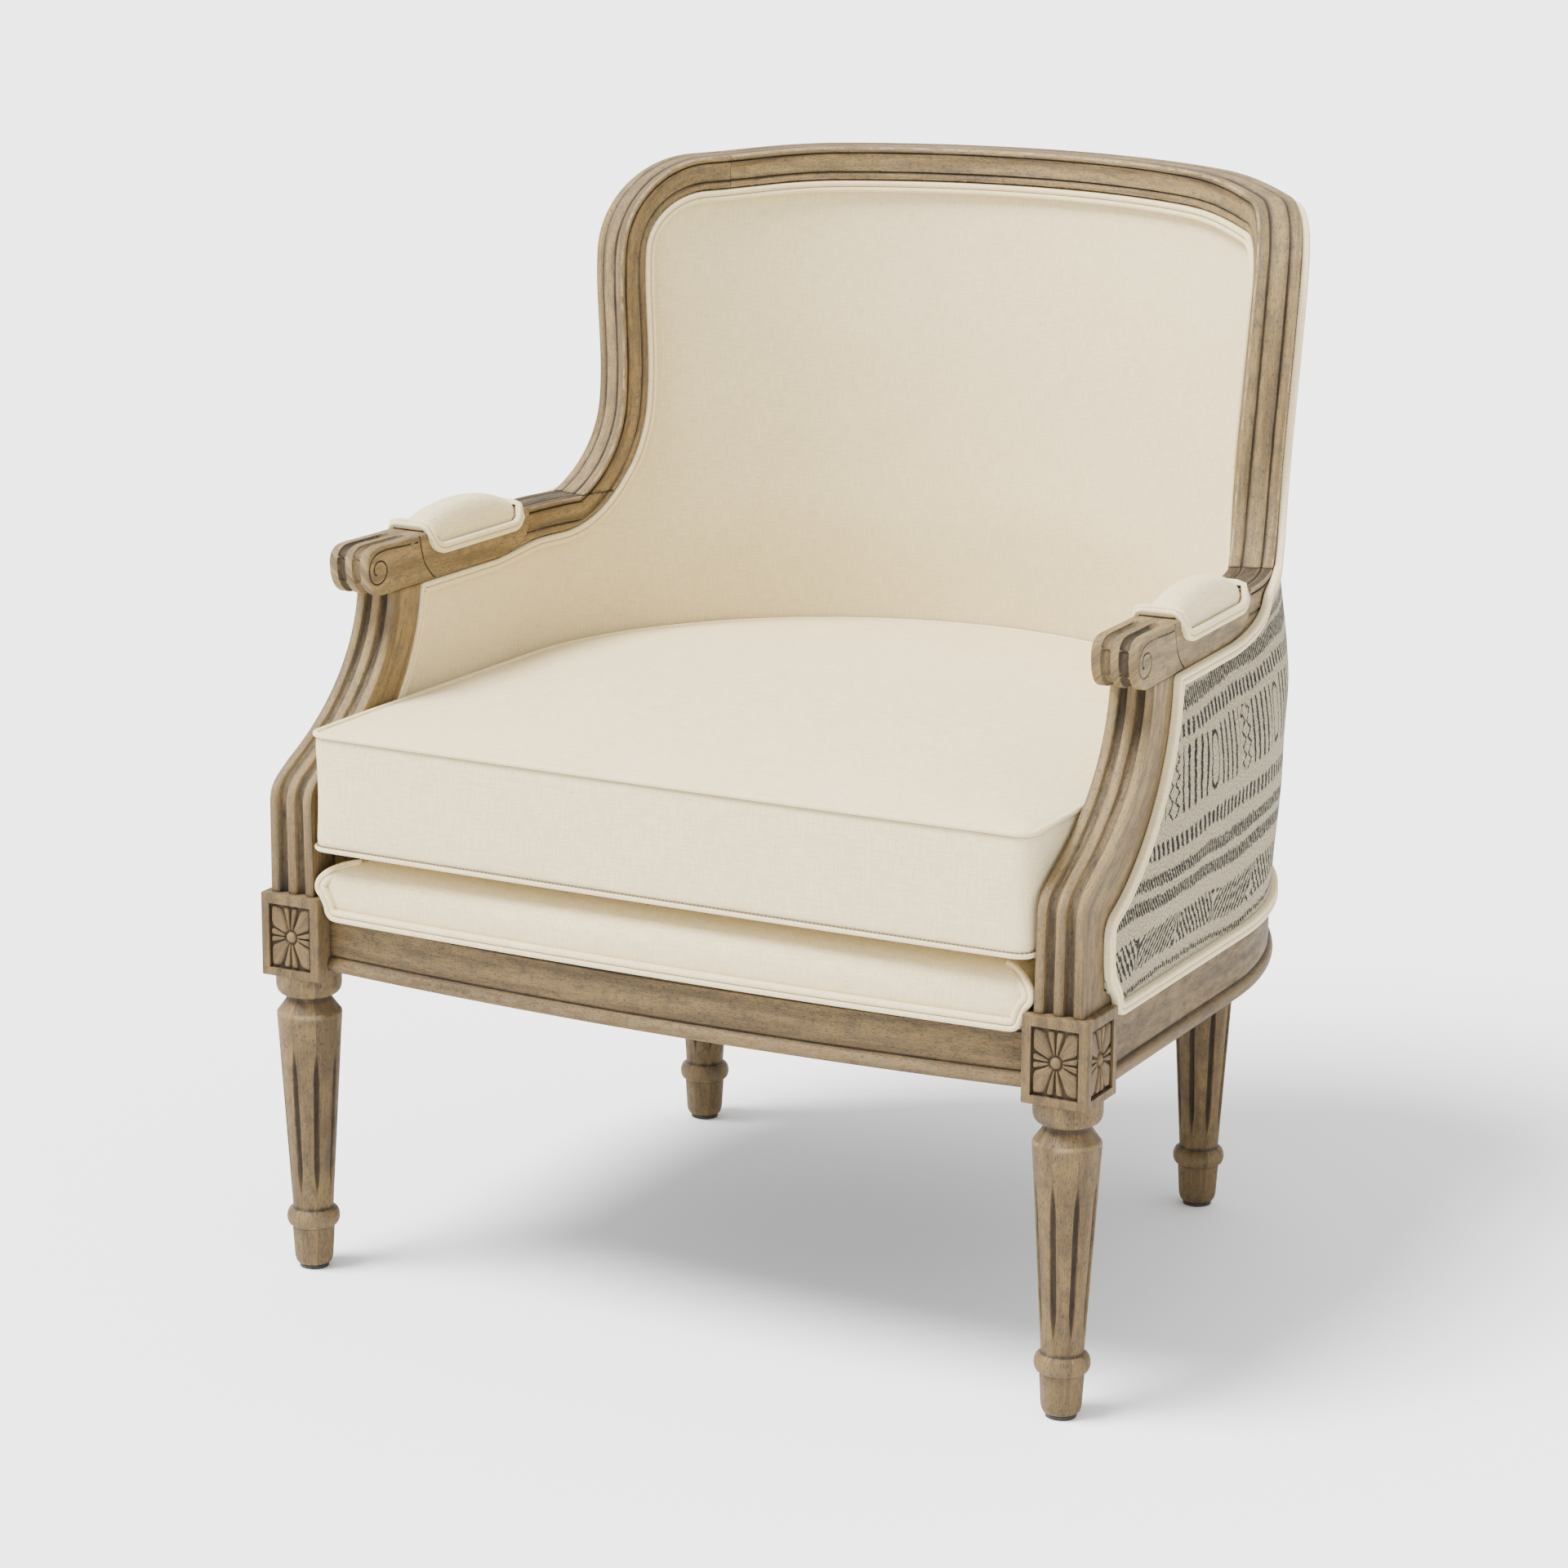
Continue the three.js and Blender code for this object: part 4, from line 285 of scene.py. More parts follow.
# Cloth coordinates on a cushion: the two axes that each face lies along
def boxedCoordinates(tree):
    place = wire(tree, "ShaderNodeTexCoord")
    x, y, z = wire(tree, "ShaderNodeSeparateXYZ", {"Vector": place.outputs["Object"]}).outputs
    facing = wire(tree, "ShaderNodeSeparateXYZ", {"Vector": place.outputs["Normal"]}).outputs
    level = wire(tree, "ShaderNodeCombineXYZ", {"X": x, "Y": y, "Z": z}).outputs[0]
    front = wire(tree, "ShaderNodeCombineXYZ", {"X": x, "Y": z, "Z": y}).outputs[0]
    side = wire(tree, "ShaderNodeCombineXYZ", {"X": y, "Y": z, "Z": x}).outputs[0]
    upright = sums(tree, "GREATER_THAN", 0.72, sums(tree, "ABSOLUTE", facing[2]))
    sideways = sums(tree, "GREATER_THAN", sums(tree, "ABSOLUTE", facing[0]), sums(tree, "ABSOLUTE", facing[1]))
    wall = wire(tree, "ShaderNodeMix", {0: sideways, 4: front, 5: side}, data_type="VECTOR").outputs[1]
    return wire(tree, "ShaderNodeMix", {0: upright, 4: level, 5: wall}, data_type="VECTOR").outputs[1]


def makeCanvas(name, mapped):
    material, tree, shader = newMaterial(
        name, Roughness=0.92, Sheen_Weight=0.12, Sheen_Roughness=0.5, Specular_IOR_Level=0.2)
    vector = wire(tree, "ShaderNodeUVMap", uv_map="grain").outputs[0] if mapped else boxedCoordinates(tree)
    made = grouped(tree, weaveGroup, {"Vector": vector, "Pitch": canvasLook["pitch"]})
    color = blended(tree, made["Tone"], canvasLook["shade"], canvasLook["thread"])
    color = blended(tree, sums(tree, "MULTIPLY", made["Fleck"], 0.7), color, canvasLook["fleck"])
    # Welts and cushion cords: painted shade where carve is high, lightly broken by stitches along the run
    if mapped:
        carve = wire(tree, "ShaderNodeAttribute", attribute_name="carve").outputs["Fac"]
        run = wire(tree, "ShaderNodeSeparateXYZ", {"Vector": vector}).outputs[0]
        thread = sums(tree, "DIVIDE", sums(tree, "PINGPONG", run, canvasLook["stitch"]), canvasLook["stitch"])
        valleyShadeAndStitches = sums(tree, "MULTIPLY", between(tree, carve, 0.1, 0.9), between(tree, thread, 0.25, 0.45, 0.75, 0.95))
        color = blended(tree, valleyShadeAndStitches, color, canvasLook["seam"])
    tree.links.new(color, shader.inputs["Base Color"])
    bumped(tree, shader, made["Height"], 0.00025, 0.6)
    return material


# Figured cover: rows of hatching, dashes, tall bars and chevrons, each row given by its
# height in the repeat, its half height, the pitch of its strokes, their share and their slant
coverRows = [
    (1, 3.0, 3.8, 0.72, 0.4, "hatch"),
    (28, 14, 6.8, 0.52, 0.75, "chevron"),
    (65, 6, 3.8, 0.74, 0.4, "hatch"),
    (84, 5.4, 3.8, 0.74, 0.4, "hatch"),
    (109, 6.5, 7.6, 0.54, 0.12, "hatch"),
    (156, 26, 9.4, 0.36, 0.04, "bars"),
    (195, 6, 7.6, 0.54, 0.12, "hatch"),
    (216, 7, 3.8, 0.74, 0.4, "hatch"),
    (230, 3.4, 3.8, 0.7, 0.4, "hatch"),
]
figures = {
    "spacing": 130, "shift": 94.5, "halfWidth": 7, "halfHeight": 24,
    "sag": 16, "sagFrom": 168, "sagTo": -236, "sagLow": 335, "sagHigh": 440, "backStation": 545,
}


def makeCoverGroup():
    tree, given, out = newGroup("figuredRows", [("Vector", "Vector")], [("Ink", "Float")])
    vector = given["Vector"]
    x, y, _ = wire(tree, "ShaderNodeSeparateXYZ", {"Vector": vector}).outputs
    sway = between(tree, cloudy(tree, stretched(tree, vector, 9, 5, 5), 1.0, 2), 0.2, 0.8, -5, 5)
    shake = between(tree, cloudy(tree, stretched(tree, vector, 150, 150, 150), 1.0, 2), 0.2, 0.8, -0.7, 0.7)
    stagger = between(tree, cloudy(tree, stretched(tree, vector, 330, 40, 40), 1.0, 1), 0.2, 0.8, -1.8, 1.8)
    across = sums(tree, "ADD", sums(tree, "DIVIDE", x, mm), shake)
    near = sums(tree, "ABSOLUTE", sums(tree, "SUBTRACT", sums(tree, "DIVIDE", x, mm), float(figures["backStation"])))
    near = sums(tree, "SUBTRACT", float(figures["backStation"]), near)
    sag = sums(
        tree, "MULTIPLY", between(tree, near, figures["sagFrom"], figures["sagTo"], 0, figures["sag"]),
        between(tree, sums(tree, "DIVIDE", y, mm), figures["sagLow"], figures["sagHigh"]))
    sway = sums(tree, "ADD", sway, sag)
    height = sums(tree, "ADD", sums(tree, "DIVIDE", y, mm), sums(tree, "ADD", sway, stagger))
    level = sums(tree, "WRAP", sums(tree, "SUBTRACT", height, coverLook["start"]), float(coverLook["repeat"]), 0.0)
    ink = None
    for middle, half, pitch, share, slant, kind in coverRows:
        off = sums(tree, "SUBTRACT", level, float(middle))
        rise = sums(tree, "ABSOLUTE", off)
        lean = rise if kind == "chevron" else off
        if kind == "chevron":
            flip = sums(tree, "PINGPONG", across, 74.0)
            lean = sums(tree, "MULTIPLY", off, between(tree, flip, 30, 44, -1, 1))
        row = between(tree, rise, half + 0.9, half - 0.9)
        place = sums(tree, "ADD", across, sums(tree, "MULTIPLY", lean, slant))
        stroke = sums(tree, "PINGPONG", place, pitch / 2)
        stroke = between(tree, stroke, pitch / 2 * share + 0.55, pitch / 2 * share - 0.55)
        if kind == "bars":
            shifted = sums(tree, "ADD", across, figures["shift"])
            cell = sums(tree, "WRAP", shifted, float(figures["spacing"]), 0.0)
            fromLoop = sums(tree, "SUBTRACT", cell, figures["spacing"] * 0.25)
            fromCross = sums(tree, "SUBTRACT", cell, figures["spacing"] * 0.75)
            wide = sums(tree, "DIVIDE", fromLoop, figures["halfWidth"])
            tall = sums(tree, "DIVIDE", off, figures["halfHeight"])
            ring = sums(tree, "ADD", sums(tree, "POWER", sums(tree, "ABSOLUTE", wide), 2.6),
                        sums(tree, "POWER", sums(tree, "ABSOLUTE", tall), 3.4))
            ring = between(tree, sums(tree, "ABSOLUTE", sums(tree, "SUBTRACT", ring, 0.8)), 0.34, 0.14)
            nearLoop = between(tree, sums(tree, "ABSOLUTE", fromLoop), 12, 11)
            zig = sums(tree, "PINGPONG", off, 6.5)
            away = sums(tree, "ABSOLUTE", fromCross)
            zags = between(tree, sums(tree, "ABSOLUTE", sums(tree, "SUBTRACT", away, sums(tree, "ADD", zig, 2.0))), 1.9, 0.9)
            nearCross = between(tree, away, 14, 13)
            stroke = mixFloat(tree, nearLoop, stroke, ring)
            stroke = mixFloat(tree, nearCross, stroke, zags)
        mark = sums(tree, "MULTIPLY", row, stroke)
        ink = mark if ink is None else sums(tree, "MAXIMUM", ink, mark)
    rough = cloudy(tree, stretched(tree, vector, 560, 560, 560), 1.0, 2)
    ink = sums(tree, "MULTIPLY", ink, between(tree, rough, 0.28, 0.46, 0.35, 1.0))
    tree.links.new(ink, out["Ink"])
    return tree


def mixFloat(tree, share, a, b):
    made = wire(tree, "ShaderNodeMix", {0: share, 2: a, 3: b}, data_type="FLOAT")
    return made.outputs[0]


coverGroup = makeCoverGroup()


def makeCover():
    material, tree, shader = newMaterial(
        "figured cover", Roughness=0.95, Sheen_Weight=0.05, Sheen_Roughness=0.5, Specular_IOR_Level=0.1)
    vector = wire(tree, "ShaderNodeUVMap", uv_map="grain").outputs[0]
    weave = grouped(tree, weaveGroup, {"Vector": vector, "Pitch": coverLook["pitch"]})
    ink = grouped(tree, coverGroup, {"Vector": vector})["Ink"]
    wool = cloudy(tree, stretched(tree, vector, 520, 520, 520), 1.0, 3, 0.7)
    color = blended(tree, between(tree, wool, 0.36, 0.66), coverLook["shade"], coverLook["thread"])
    color = blended(tree, ink, color, coverLook["ink"])
    tree.links.new(color, shader.inputs["Base Color"])
    height = sums(tree, "ADD", sums(tree, "MULTIPLY", weave["Height"], 0.5), wool)
    bumped(tree, shader, height, 0.0008, 0.8)
    return material


def makePlain(name, color, spread, scale, **uniform):
    material, tree, shader = newMaterial(name, **uniform)
    place = wire(tree, "ShaderNodeTexCoord").outputs["Object"]
    grit = cloudy(tree, place, scale, 4, 0.6)
    darker = tuple(c * spread for c in color[:3]) + (1,)
    tree.links.new(blended(tree, between(tree, grit, 0.35, 0.65), darker, color), shader.inputs["Base Color"])
    bumped(tree, shader, grit, 0.0002, 0.4)
    return material


wood = makeWood()
canvas = makeCanvas("canvas", True)
cushionCanvas = makeCanvas("cushion canvas", False)
cover = makeCover()
nylon = makePlain("black nylon", rgb(38, 38, 38), 0.7, 900, Roughness=0.6)
zinc = makePlain("zinc plate", rgb(170, 170, 166), 0.8, 500, Roughness=0.35, Metallic=1.0)
jute = makePlain("jute webbing", rgb(156, 129, 88), 0.6, 700, Roughness=0.95)
dustCloth = makePlain("dust cloth", rgb(40, 40, 42), 0.7, 1400, Roughness=0.95)
beech = makePlain("bare beech", rgb(196, 164, 116), 0.8, 60, Roughness=0.7)
print("materials made")

# ---- The horseshoe: every piece of the back and arms is set out on this curved wall
plan = {
    "seatRadius": 356, "seatCentre": 272, "seatHeight": 307, "backRadius": 347, "backCentre": 277,
    "backHeight": 545, "bendRadius": 300, "elbow": math.radians(16.8), "toe": math.radians(2),
    "lean": 0.154, "leanBlend": 30,
}
elbowStation = plan["backRadius"] * plan["elbow"]
bendLength = plan["bendRadius"] * (plan["elbow"] - plan["toe"])
straightStation = elbowStation - bendLength
backStation = plan["backRadius"] * math.pi / 2


def planAt(height):
    share = clamp((height - plan["seatHeight"]) / (plan["backHeight"] - plan["seatHeight"]))
    over, blend = height - plan["backHeight"], plan["leanBlend"]
    lean = max(over, 0) if abs(over) > blend else (over + blend) ** 2 / (4 * blend)
    return (
        mix(plan["seatRadius"], plan["backRadius"], share),
        mix(plan["seatCentre"], plan["backCentre"], share) + lean * plan["lean"],
        mix(plan["seatRadius"], plan["bendRadius"], share),
        plan["toe"] * share,
    )


# A point by its station along the horseshoe, its height and its depth inwards from the outer face
def wallPoint(station, height, depth):
    radius, centre, bend, toe = planAt(height)
    near = min(station, 2 * backStation - station)
    side = -1 if station > backStation else 1
    elbow = plan["elbow"]
    angle = near / plan["backRadius"]
    x, y = radius * math.cos(angle), radius * math.sin(angle)
    if near < elbowStation:
        turn = min((elbowStation - near) / bendLength, 1)
        run = max(straightStation - near, 0)
        angle = mix(elbow, toe, turn)
        x = (radius - bend) * math.cos(elbow) + bend * math.cos(angle) + run * math.sin(angle)
        y = (radius - bend) * math.sin(elbow) + bend * math.sin(angle) - run * math.cos(angle)
    return Vector((side * (x - depth * math.cos(angle)), centre + y - depth * math.sin(angle), height))


def onWall(station, height, depth):
    return placed(*wallPoint(station, height, depth))


def stationAt(y, height):
    start = wallPoint(straightStation, height, 0)
    return straightStation - (start.y - y) / math.cos(planAt(height)[3])


def outerX(y, height):
    return wallPoint(stationAt(y, height), height, 0).x


# ---- Lines in the unrolled wall


def flat(*pairs):
    return [Vector(p) for p in pairs]


def bezier(a, b, c, d, count=24):
    size = len(a)
    return [Vector(p[:size]) for p in interpolate_bezier(*(p.to_3d() for p in (a, b, c, d)), count + 1)]


def smoothLine(points, count=10):
    line = []
    for i in range(len(points) - 1):
        a, b = points[i], points[i + 1]
        before = points[max(i - 1, 0)]
        after = points[min(i + 2, len(points) - 1)]
        line += bezier(a, a + (b - before) / 6, b - (after - a) / 6, b, count)[0 if i == 0 else 1:]
    return line


def evenly(points, spacing):
    runs = [0.0]
    for a, b in zip(points, points[1:]):
        runs.append(runs[-1] + (b - a).length)
    count = max(1, round(runs[-1] / spacing))
    line, k = [], 0
    for i in range(count + 1):
        want = runs[-1] * i / count
        while k < len(points) - 2 and runs[k + 1] < want:
            k += 1
        span = runs[k + 1] - runs[k]
        line.append(points[k].lerp(points[k + 1], (want - runs[k]) / span if span else 0.0))
    return line


# For each point, the step that moves it one unit to the right of the line's travel
def rightSteps(points, closes=False):
    count, moves = len(points), []
    for i, p in enumerate(points):
        before = p - points[i - 1] if closes or i else points[1] - points[0]
        after = points[(i + 1) % count] - p if closes or i < count - 1 else before
        a, b = (Vector((way.y, -way.x)).normalized() for way in (before, after))
        middle = (a + b).normalized()
        moves.append(middle / max(middle.dot(a), 0.5))
    return moves


def movedRight(points, distance, closes=False):
    return [p + move * distance for p, move in zip(points, rightSteps(points, closes))]


def mirroredLine(half):
    return half + [Vector((2 * backStation - p.x, p.y)) for p in reversed(half[:-1])]


def crossing(points, value, known, wanted):
    for a, b in zip(points, points[1:]):
        if min(a[known], b[known]) <= value <= max(a[known], b[known]) and a[known] != b[known]:
            return mix(a[wanted], b[wanted], (value - a[known]) / (b[known] - a[known]))
    first, last = points[0], points[-1]
    return (first if abs(value - first[known]) < abs(value - last[known]) else last)[wanted]


rim = {
    "jointHeight": 582, "crestHeight": 865, "cornerDrop": 6, "shoulderDrop": 80, "waistOut": 44.25,
    "shoulderOut": 30.25, "cornerOut": 122.25, "splitOut": 143.25, "crestOut": 258.25, "waistShare": 0.36,
    "spacing": 3.6,
}


def rimCurve():
    def at(out, drop):
        return Vector((elbowStation + out, rim["crestHeight"] - drop))

    def within(a, b, shareX, shareY):
        return Vector((mix(a.x, b.x, shareX), mix(a.y, b.y, shareY)))

    elbow = Vector((elbowStation, rim["jointHeight"]))
    shoulder, corner = at(rim["shoulderOut"], rim["shoulderDrop"]), at(rim["cornerOut"], rim["cornerDrop"])
    crest = at(rim["crestOut"], 0)
    waist = Vector((elbowStation + rim["waistOut"], mix(elbow.y, shoulder.y, rim["waistShare"])))
    line = bezier(elbow, within(elbow, waist, 0.64, 0.2), within(elbow, waist, 1, 0.59), waist)
    line += bezier(waist, within(waist, shoulder, 0, 0.35), within(waist, shoulder, 1, 0.69), shoulder)[1:]
    across, rise = corner.x - shoulder.x, corner.y - shoulder.y
    line += [
        Vector((corner.x - across * math.cos(a), shoulder.y + rise * math.sin(a)))
        for a in steps(0, math.pi / 2, 24)[1:]]
    line += bezier(corner, within(corner, crest, 0.34, 0.17), within(corner, crest, 0.56, 1), crest)[1:]
    return line + [Vector((backStation, rim["crestHeight"]))]


splitStation = elbowStation + rim["splitOut"]
arm = {
    "depth": 36, "bottom": 547, "blockRear": 284, "seat": 567, "proud": 1.1, "edge": 1.6,
    "cove": 4.4, "coveDepth": 3.3, "line": 0.95,
}


# The arm's rear part, then up the stile; and the crest, from its joint to the middle of the back
def bandLines():
    curve = rimCurve()
    cutAt = next(i for i, p in enumerate(curve) if p.x > splitStation)
    joint = Vector((splitStation, crossing(curve, splitStation, 0, 1)))
    start = Vector((stationAt(arm["blockRear"], rim["jointHeight"]), rim["jointHeight"]))
    run = evenly([start, curve[0]], rim["spacing"])
    side = run[:-1] + evenly(curve[:cutAt] + [joint], rim["spacing"])
    crest = evenly([joint] + curve[cutAt:], rim["spacing"])
    return side, crest, len(run) - 1


sideLine, crestLine, elbowIndex = bandLines()

# ---- Meshes


def newMesh():
    bm = bmesh.new()
    bm.verts.layers.float.new("carve")
    bm.loops.layers.uv.new("grain")
    return bm


# A grid whose points are placed by place(i, j), which gives a point, how deep in a carving it
# lies (below 0 on a worn edge) and its place along and across the grain
def layGrid(bm, across, along, place):
    made = bmesh.ops.create_grid(bm, x_segments=across, y_segments=along, size=1)["verts"]
    carve, grain = bm.verts.layers.float["carve"], bm.loops.layers.uv["grain"]
    spots = {v: place(round((v.co.x + 1) / 2 * across), round((v.co.y + 1) / 2 * along)) for v in made}
    for face in {face for v in made for face in v.link_faces}:
        for loop in face.loops:
            loop[grain].uv = spots[loop.vert][2:4]
    for v, spot in spots.items():
        v.co, v[carve] = spot[0], spot[1]
    return made


def sweep(bm, rings, carves, closes=False, start=(0.0, 0.0), ends=-1.0):
    count, turns = len(rings[0]), len(rings)
    middles = [sum(ring, Vector()) / count for ring in rings]
    runs, girth = [start[0]], [start[1]]
    for j in range(turns):
        runs.append(runs[-1] + (middles[(j + 1) % turns] - middles[j]).length)
    for i in range(count):
        girth.append(girth[-1] + (rings[turns // 2][(i + 1) % count] - rings[turns // 2][i]).length)

    def place(i, j):
        ring, k = j % turns, i % count
        carve = carves[ring][k] if isinstance(carves[0], list) else carves[k]
        return rings[ring][k], max(carve, ends) if ring in (0, turns - 1) else carve, runs[j], girth[i]

    made = layGrid(bm, count, turns if closes else turns - 1, place)
    bmesh.ops.remove_doubles(bm, verts=made, dist=1e-6)


def closeHoles(bm):
    grain = bm.loops.layers.uv["grain"]
    edges = [e for e in bm.edges if e.is_boundary]
    for face in bmesh.ops.holes_fill(bm, edges=edges, sides=0)["faces"]:
        for loop in face.loops:
            loop[grain].uv = (loop.vert.co.y * 0.2, loop.vert.co.x + loop.vert.co.z)


def sliced(bm, point, normal):
    bmesh.ops.bisect_plane(
        bm, geom=bm.verts[:] + bm.edges[:] + bm.faces[:], dist=1e-7, plane_co=point, plane_no=normal,
        clear_inner=True)
    closeHoles(bm)


def newPiece(name, bm, material, slot, nodes=(), body="frame", sharp=38):
    bmesh.ops.recalc_face_normals(bm, faces=bm.faces)
    mesh = bpy.data.meshes.new(name)
    bm.to_mesh(mesh)
    bm.free()
    for face in mesh.polygons:
        face.use_smooth = True
    mesh.set_sharp_from_angle(angle=math.radians(sharp))
    mesh.materials.append(material)
    piece = bpy.data.objects.new(name, mesh)
    bpy.context.scene.collection.objects.link(piece)
    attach(piece, body)
    if nodes:
        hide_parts(*nodes)
    return piece


def mirrored(bm):
    copy = bm.copy()
    grain = copy.loops.layers.uv["grain"]
    for v in copy.verts:
        v.co.x = -v.co.x
    for face in copy.faces:
        for loop in face.loops:
            loop[grain].uv = loop[grain].uv + Vector((0.613, 0.287))
    return copy


def newPair(name, bm, material, slot, nodes, **more):
    other = mirrored(bm)
    right = newPiece(name + "_right_look", bm, material, slot, [n + "_right" for n in nodes], **more)
    left = newPiece(name + "_left_look", other, material, slot, [n + "_left" for n in nodes], **more)
    return right, left


def darkened(bm, picks, carve):
    layer = bm.verts.layers.float["carve"]
    for v in bm.verts:
        if picks(v.co):
            v[layer] = max(v[layer], carve)


# Cuts one mesh out of another, for carved lines and coves
def carvedOut(bm, tools):
    pair = []
    for part in (bm, tools):
        bmesh.ops.recalc_face_normals(part, faces=part.faces)
        mesh = bpy.data.meshes.new("carving")
        part.to_mesh(mesh)
        part.free()
        made = bpy.data.objects.new("carving", mesh)
        bpy.context.scene.collection.objects.link(made)
        pair.append(made)
    body, tool = pair
    modifier = body.modifiers.new("carve", "BOOLEAN")
    modifier.operation, modifier.solver, modifier.object = "DIFFERENCE", "EXACT", tool
    result = bmesh.new()
    result.from_mesh(body.evaluated_get(bpy.context.evaluated_depsgraph_get()).to_mesh())
    for made in pair:
        bpy.data.meshes.remove(made.data)
    return result


def tube(bm, points, radius, sides=8, carve=1.0, closes=False):
    rings = []
    count = len(points)
    for i, p in enumerate(points):
        before = points[i - 1] if closes or i else p
        after = points[(i + 1) % count] if closes or i < count - 1 else p
        along = (after - before).normalized()
        hint = Vector((0, 0, 1)) if abs(along.z) < 0.9 else Vector((1, 0, 0))
        across = along.cross(hint).normalized()
        up = across.cross(along)
        size = radius[i] if isinstance(radius, list) else radius
        rings.append([p + (across * math.cos(a) + up * math.sin(a)) * size * mm
                      for a in steps(0, 2 * math.pi, sides)[:-1]])
    sweep(bm, rings, carve if isinstance(carve, list) else [carve] * sides, closes)
    if not closes:
        closeHoles(bm)


# A moulded face: bands with a groove between each two and a rounded corner at both ends.
# A dish above 0 hollows a band and one below 0 rounds it. Gives (place, depth, carve) points.
def mouldedFace(bands, groove, depth, corner):
    total = sum(width for width, _ in bands) + groove * (len(bands) - 1)
    points, start = [], 0.0
    for k, (width, dish) in enumerate(bands):
        # Carve: 1 in the grooves and up to 0.55 at the band edges beside them, for glaze with painted shade
        for u in steps(0, 1, 6):
            arch = 4 * u * (1 - u)
            points.append((start + u * width, dish * arch if dish > 0 else -dish * (1 - arch), 0.55 * (1 - arch)))
        start += width
        if k + 1 < len(bands):
            points += [(start + u * groove, depth * share, 1.0) for u, share in ((0.25, 0.75), (0.5, 1), (0.75, 0.75))]
            start += groove
    inner = [p for p in points if corner < p[0] < total - corner]
    bend = [(corner * (1 - math.sin(a)), corner * (1 - math.cos(a)), -0.8 * math.sin(2 * a))
            for a in steps(math.pi / 4, 0, 3)]
    return bend + inner + [(total - t, out, carve) for t, out, carve in reversed(bend)]


# ---- Stiles, crest and the rear of the arms
moulding = {
    "rimBands": [(8, -1.3), (13.4, -0.8), (9.6, -1.3)], "faceBands": [(4.3, -0.4), (14.2, 0.9), (5.9, -1.2)],
    "rimGroove": 2.5, "rimDepth": 2.2, "faceGroove": 1.8, "faceDepth": 1.8, "corner": 2.6,
    "tongueWidth": 22, "tongueDepth": 24, "armExtra": 7, "extraStart": 140, "extraFade": 95,
}
bandWidth = 28


def bandSection():
    rimFace = mouldedFace(moulding["rimBands"], moulding["rimGroove"], moulding["rimDepth"], moulding["corner"])
    side = mouldedFace(moulding["faceBands"], moulding["faceGroove"], moulding["faceDepth"], moulding["corner"])
    depth, back, tongue = arm["depth"], moulding["tongueDepth"], bandWidth + moulding["tongueWidth"]
    section = [(out, t, carve) for t, out, carve in rimFace]
    section += [(t, depth - out, carve) for t, out, carve in side[1:]]
    section += [(bandWidth, back, 0), (tongue, back, 0), (tongue, 0, 0)]
    section += [(t, out, carve) for t, out, carve in reversed(side[1:])]
    return section


def softened(points, middle, reach=14, passes=16):
    points = list(points)
    for _ in range(passes):
        for i in range(max(middle - reach, 1), min(middle + reach, len(points) - 1)):
            points[i] = points[i] / 2 + (points[i - 1] + points[i + 1]) / 4
    return points


# The band's inner edge, wider along the arm and eased round the elbow
def innerEdge(clear=0.0):
    past = [(i - elbowIndex) * rim["spacing"] for i in range(len(sideLine))]
    extras = [moulding["armExtra"] * (1 - eased((run + moulding["extraStart"]) / moulding["extraFade"])) for run in past]
    line = [p + move * (bandWidth + clear + extra) for p, move, extra in zip(sideLine, rightSteps(sideLine), extras)]
    return softened(line, elbowIndex)


def bandRings(line, inner):
    section = bandSection()
    rings = []
    for p, move, edge in zip(line, rightSteps(line), inner):
        ring = []
        for width, depth, _ in section:
            at = (p + move * width).lerp(edge + move * (width - bandWidth), clamp((width - 21) / 4))
            ring.append(onWall(at.x, at.y, depth))
        rings.append(ring)
    return rings, [carve for _, _, carve in section]


def makeStiles():
    rings, carves = bandRings(sideLine, innerEdge())
    joint = placed(0, 0, rim["jointHeight"] + 0.2)
    last = next(i for i in range(elbowIndex, len(rings)) if min(p.z for p in rings[i]) > joint.z)
    bm = newMesh()
    sweep(bm, rings[max(elbowIndex - 4, 0):], carves)
    closeHoles(bm)
    sliced(bm, joint, Vector((0, 0, 1)))
    darkened(bm, lambda p: abs(p.z - joint.z) < 0.4 * mm, 0.9)
    newPair("back_stile", bm, wood, "painted_wood", ["back_stile"])
    rear = newMesh()
    sweep(rear, rings[:last + 1], carves, start=(0.4, 0.1))
    closeHoles(rear)
    sliced(rear, joint - Vector((0, 0, 0.4 * mm)), Vector((0, 0, -1)))
    darkened(rear, lambda p: abs(p.z - joint.z) < 0.8 * mm, 0.9)
    return rear


def makeCrest():
    line = mirroredLine(crestLine)
    line[0] = line[0] + Vector((0.3, 0))
    line[-1] = line[-1] - Vector((0.3, 0))
    rings, carves = bandRings(line, movedRight(line, bandWidth))
    bm = newMesh()
    sweep(bm, rings, carves, start=(1.7, 0.6))
    closeHoles(bm)
    newPiece("top_rail_look", bm, wood, "painted_wood", ["top_rail"])


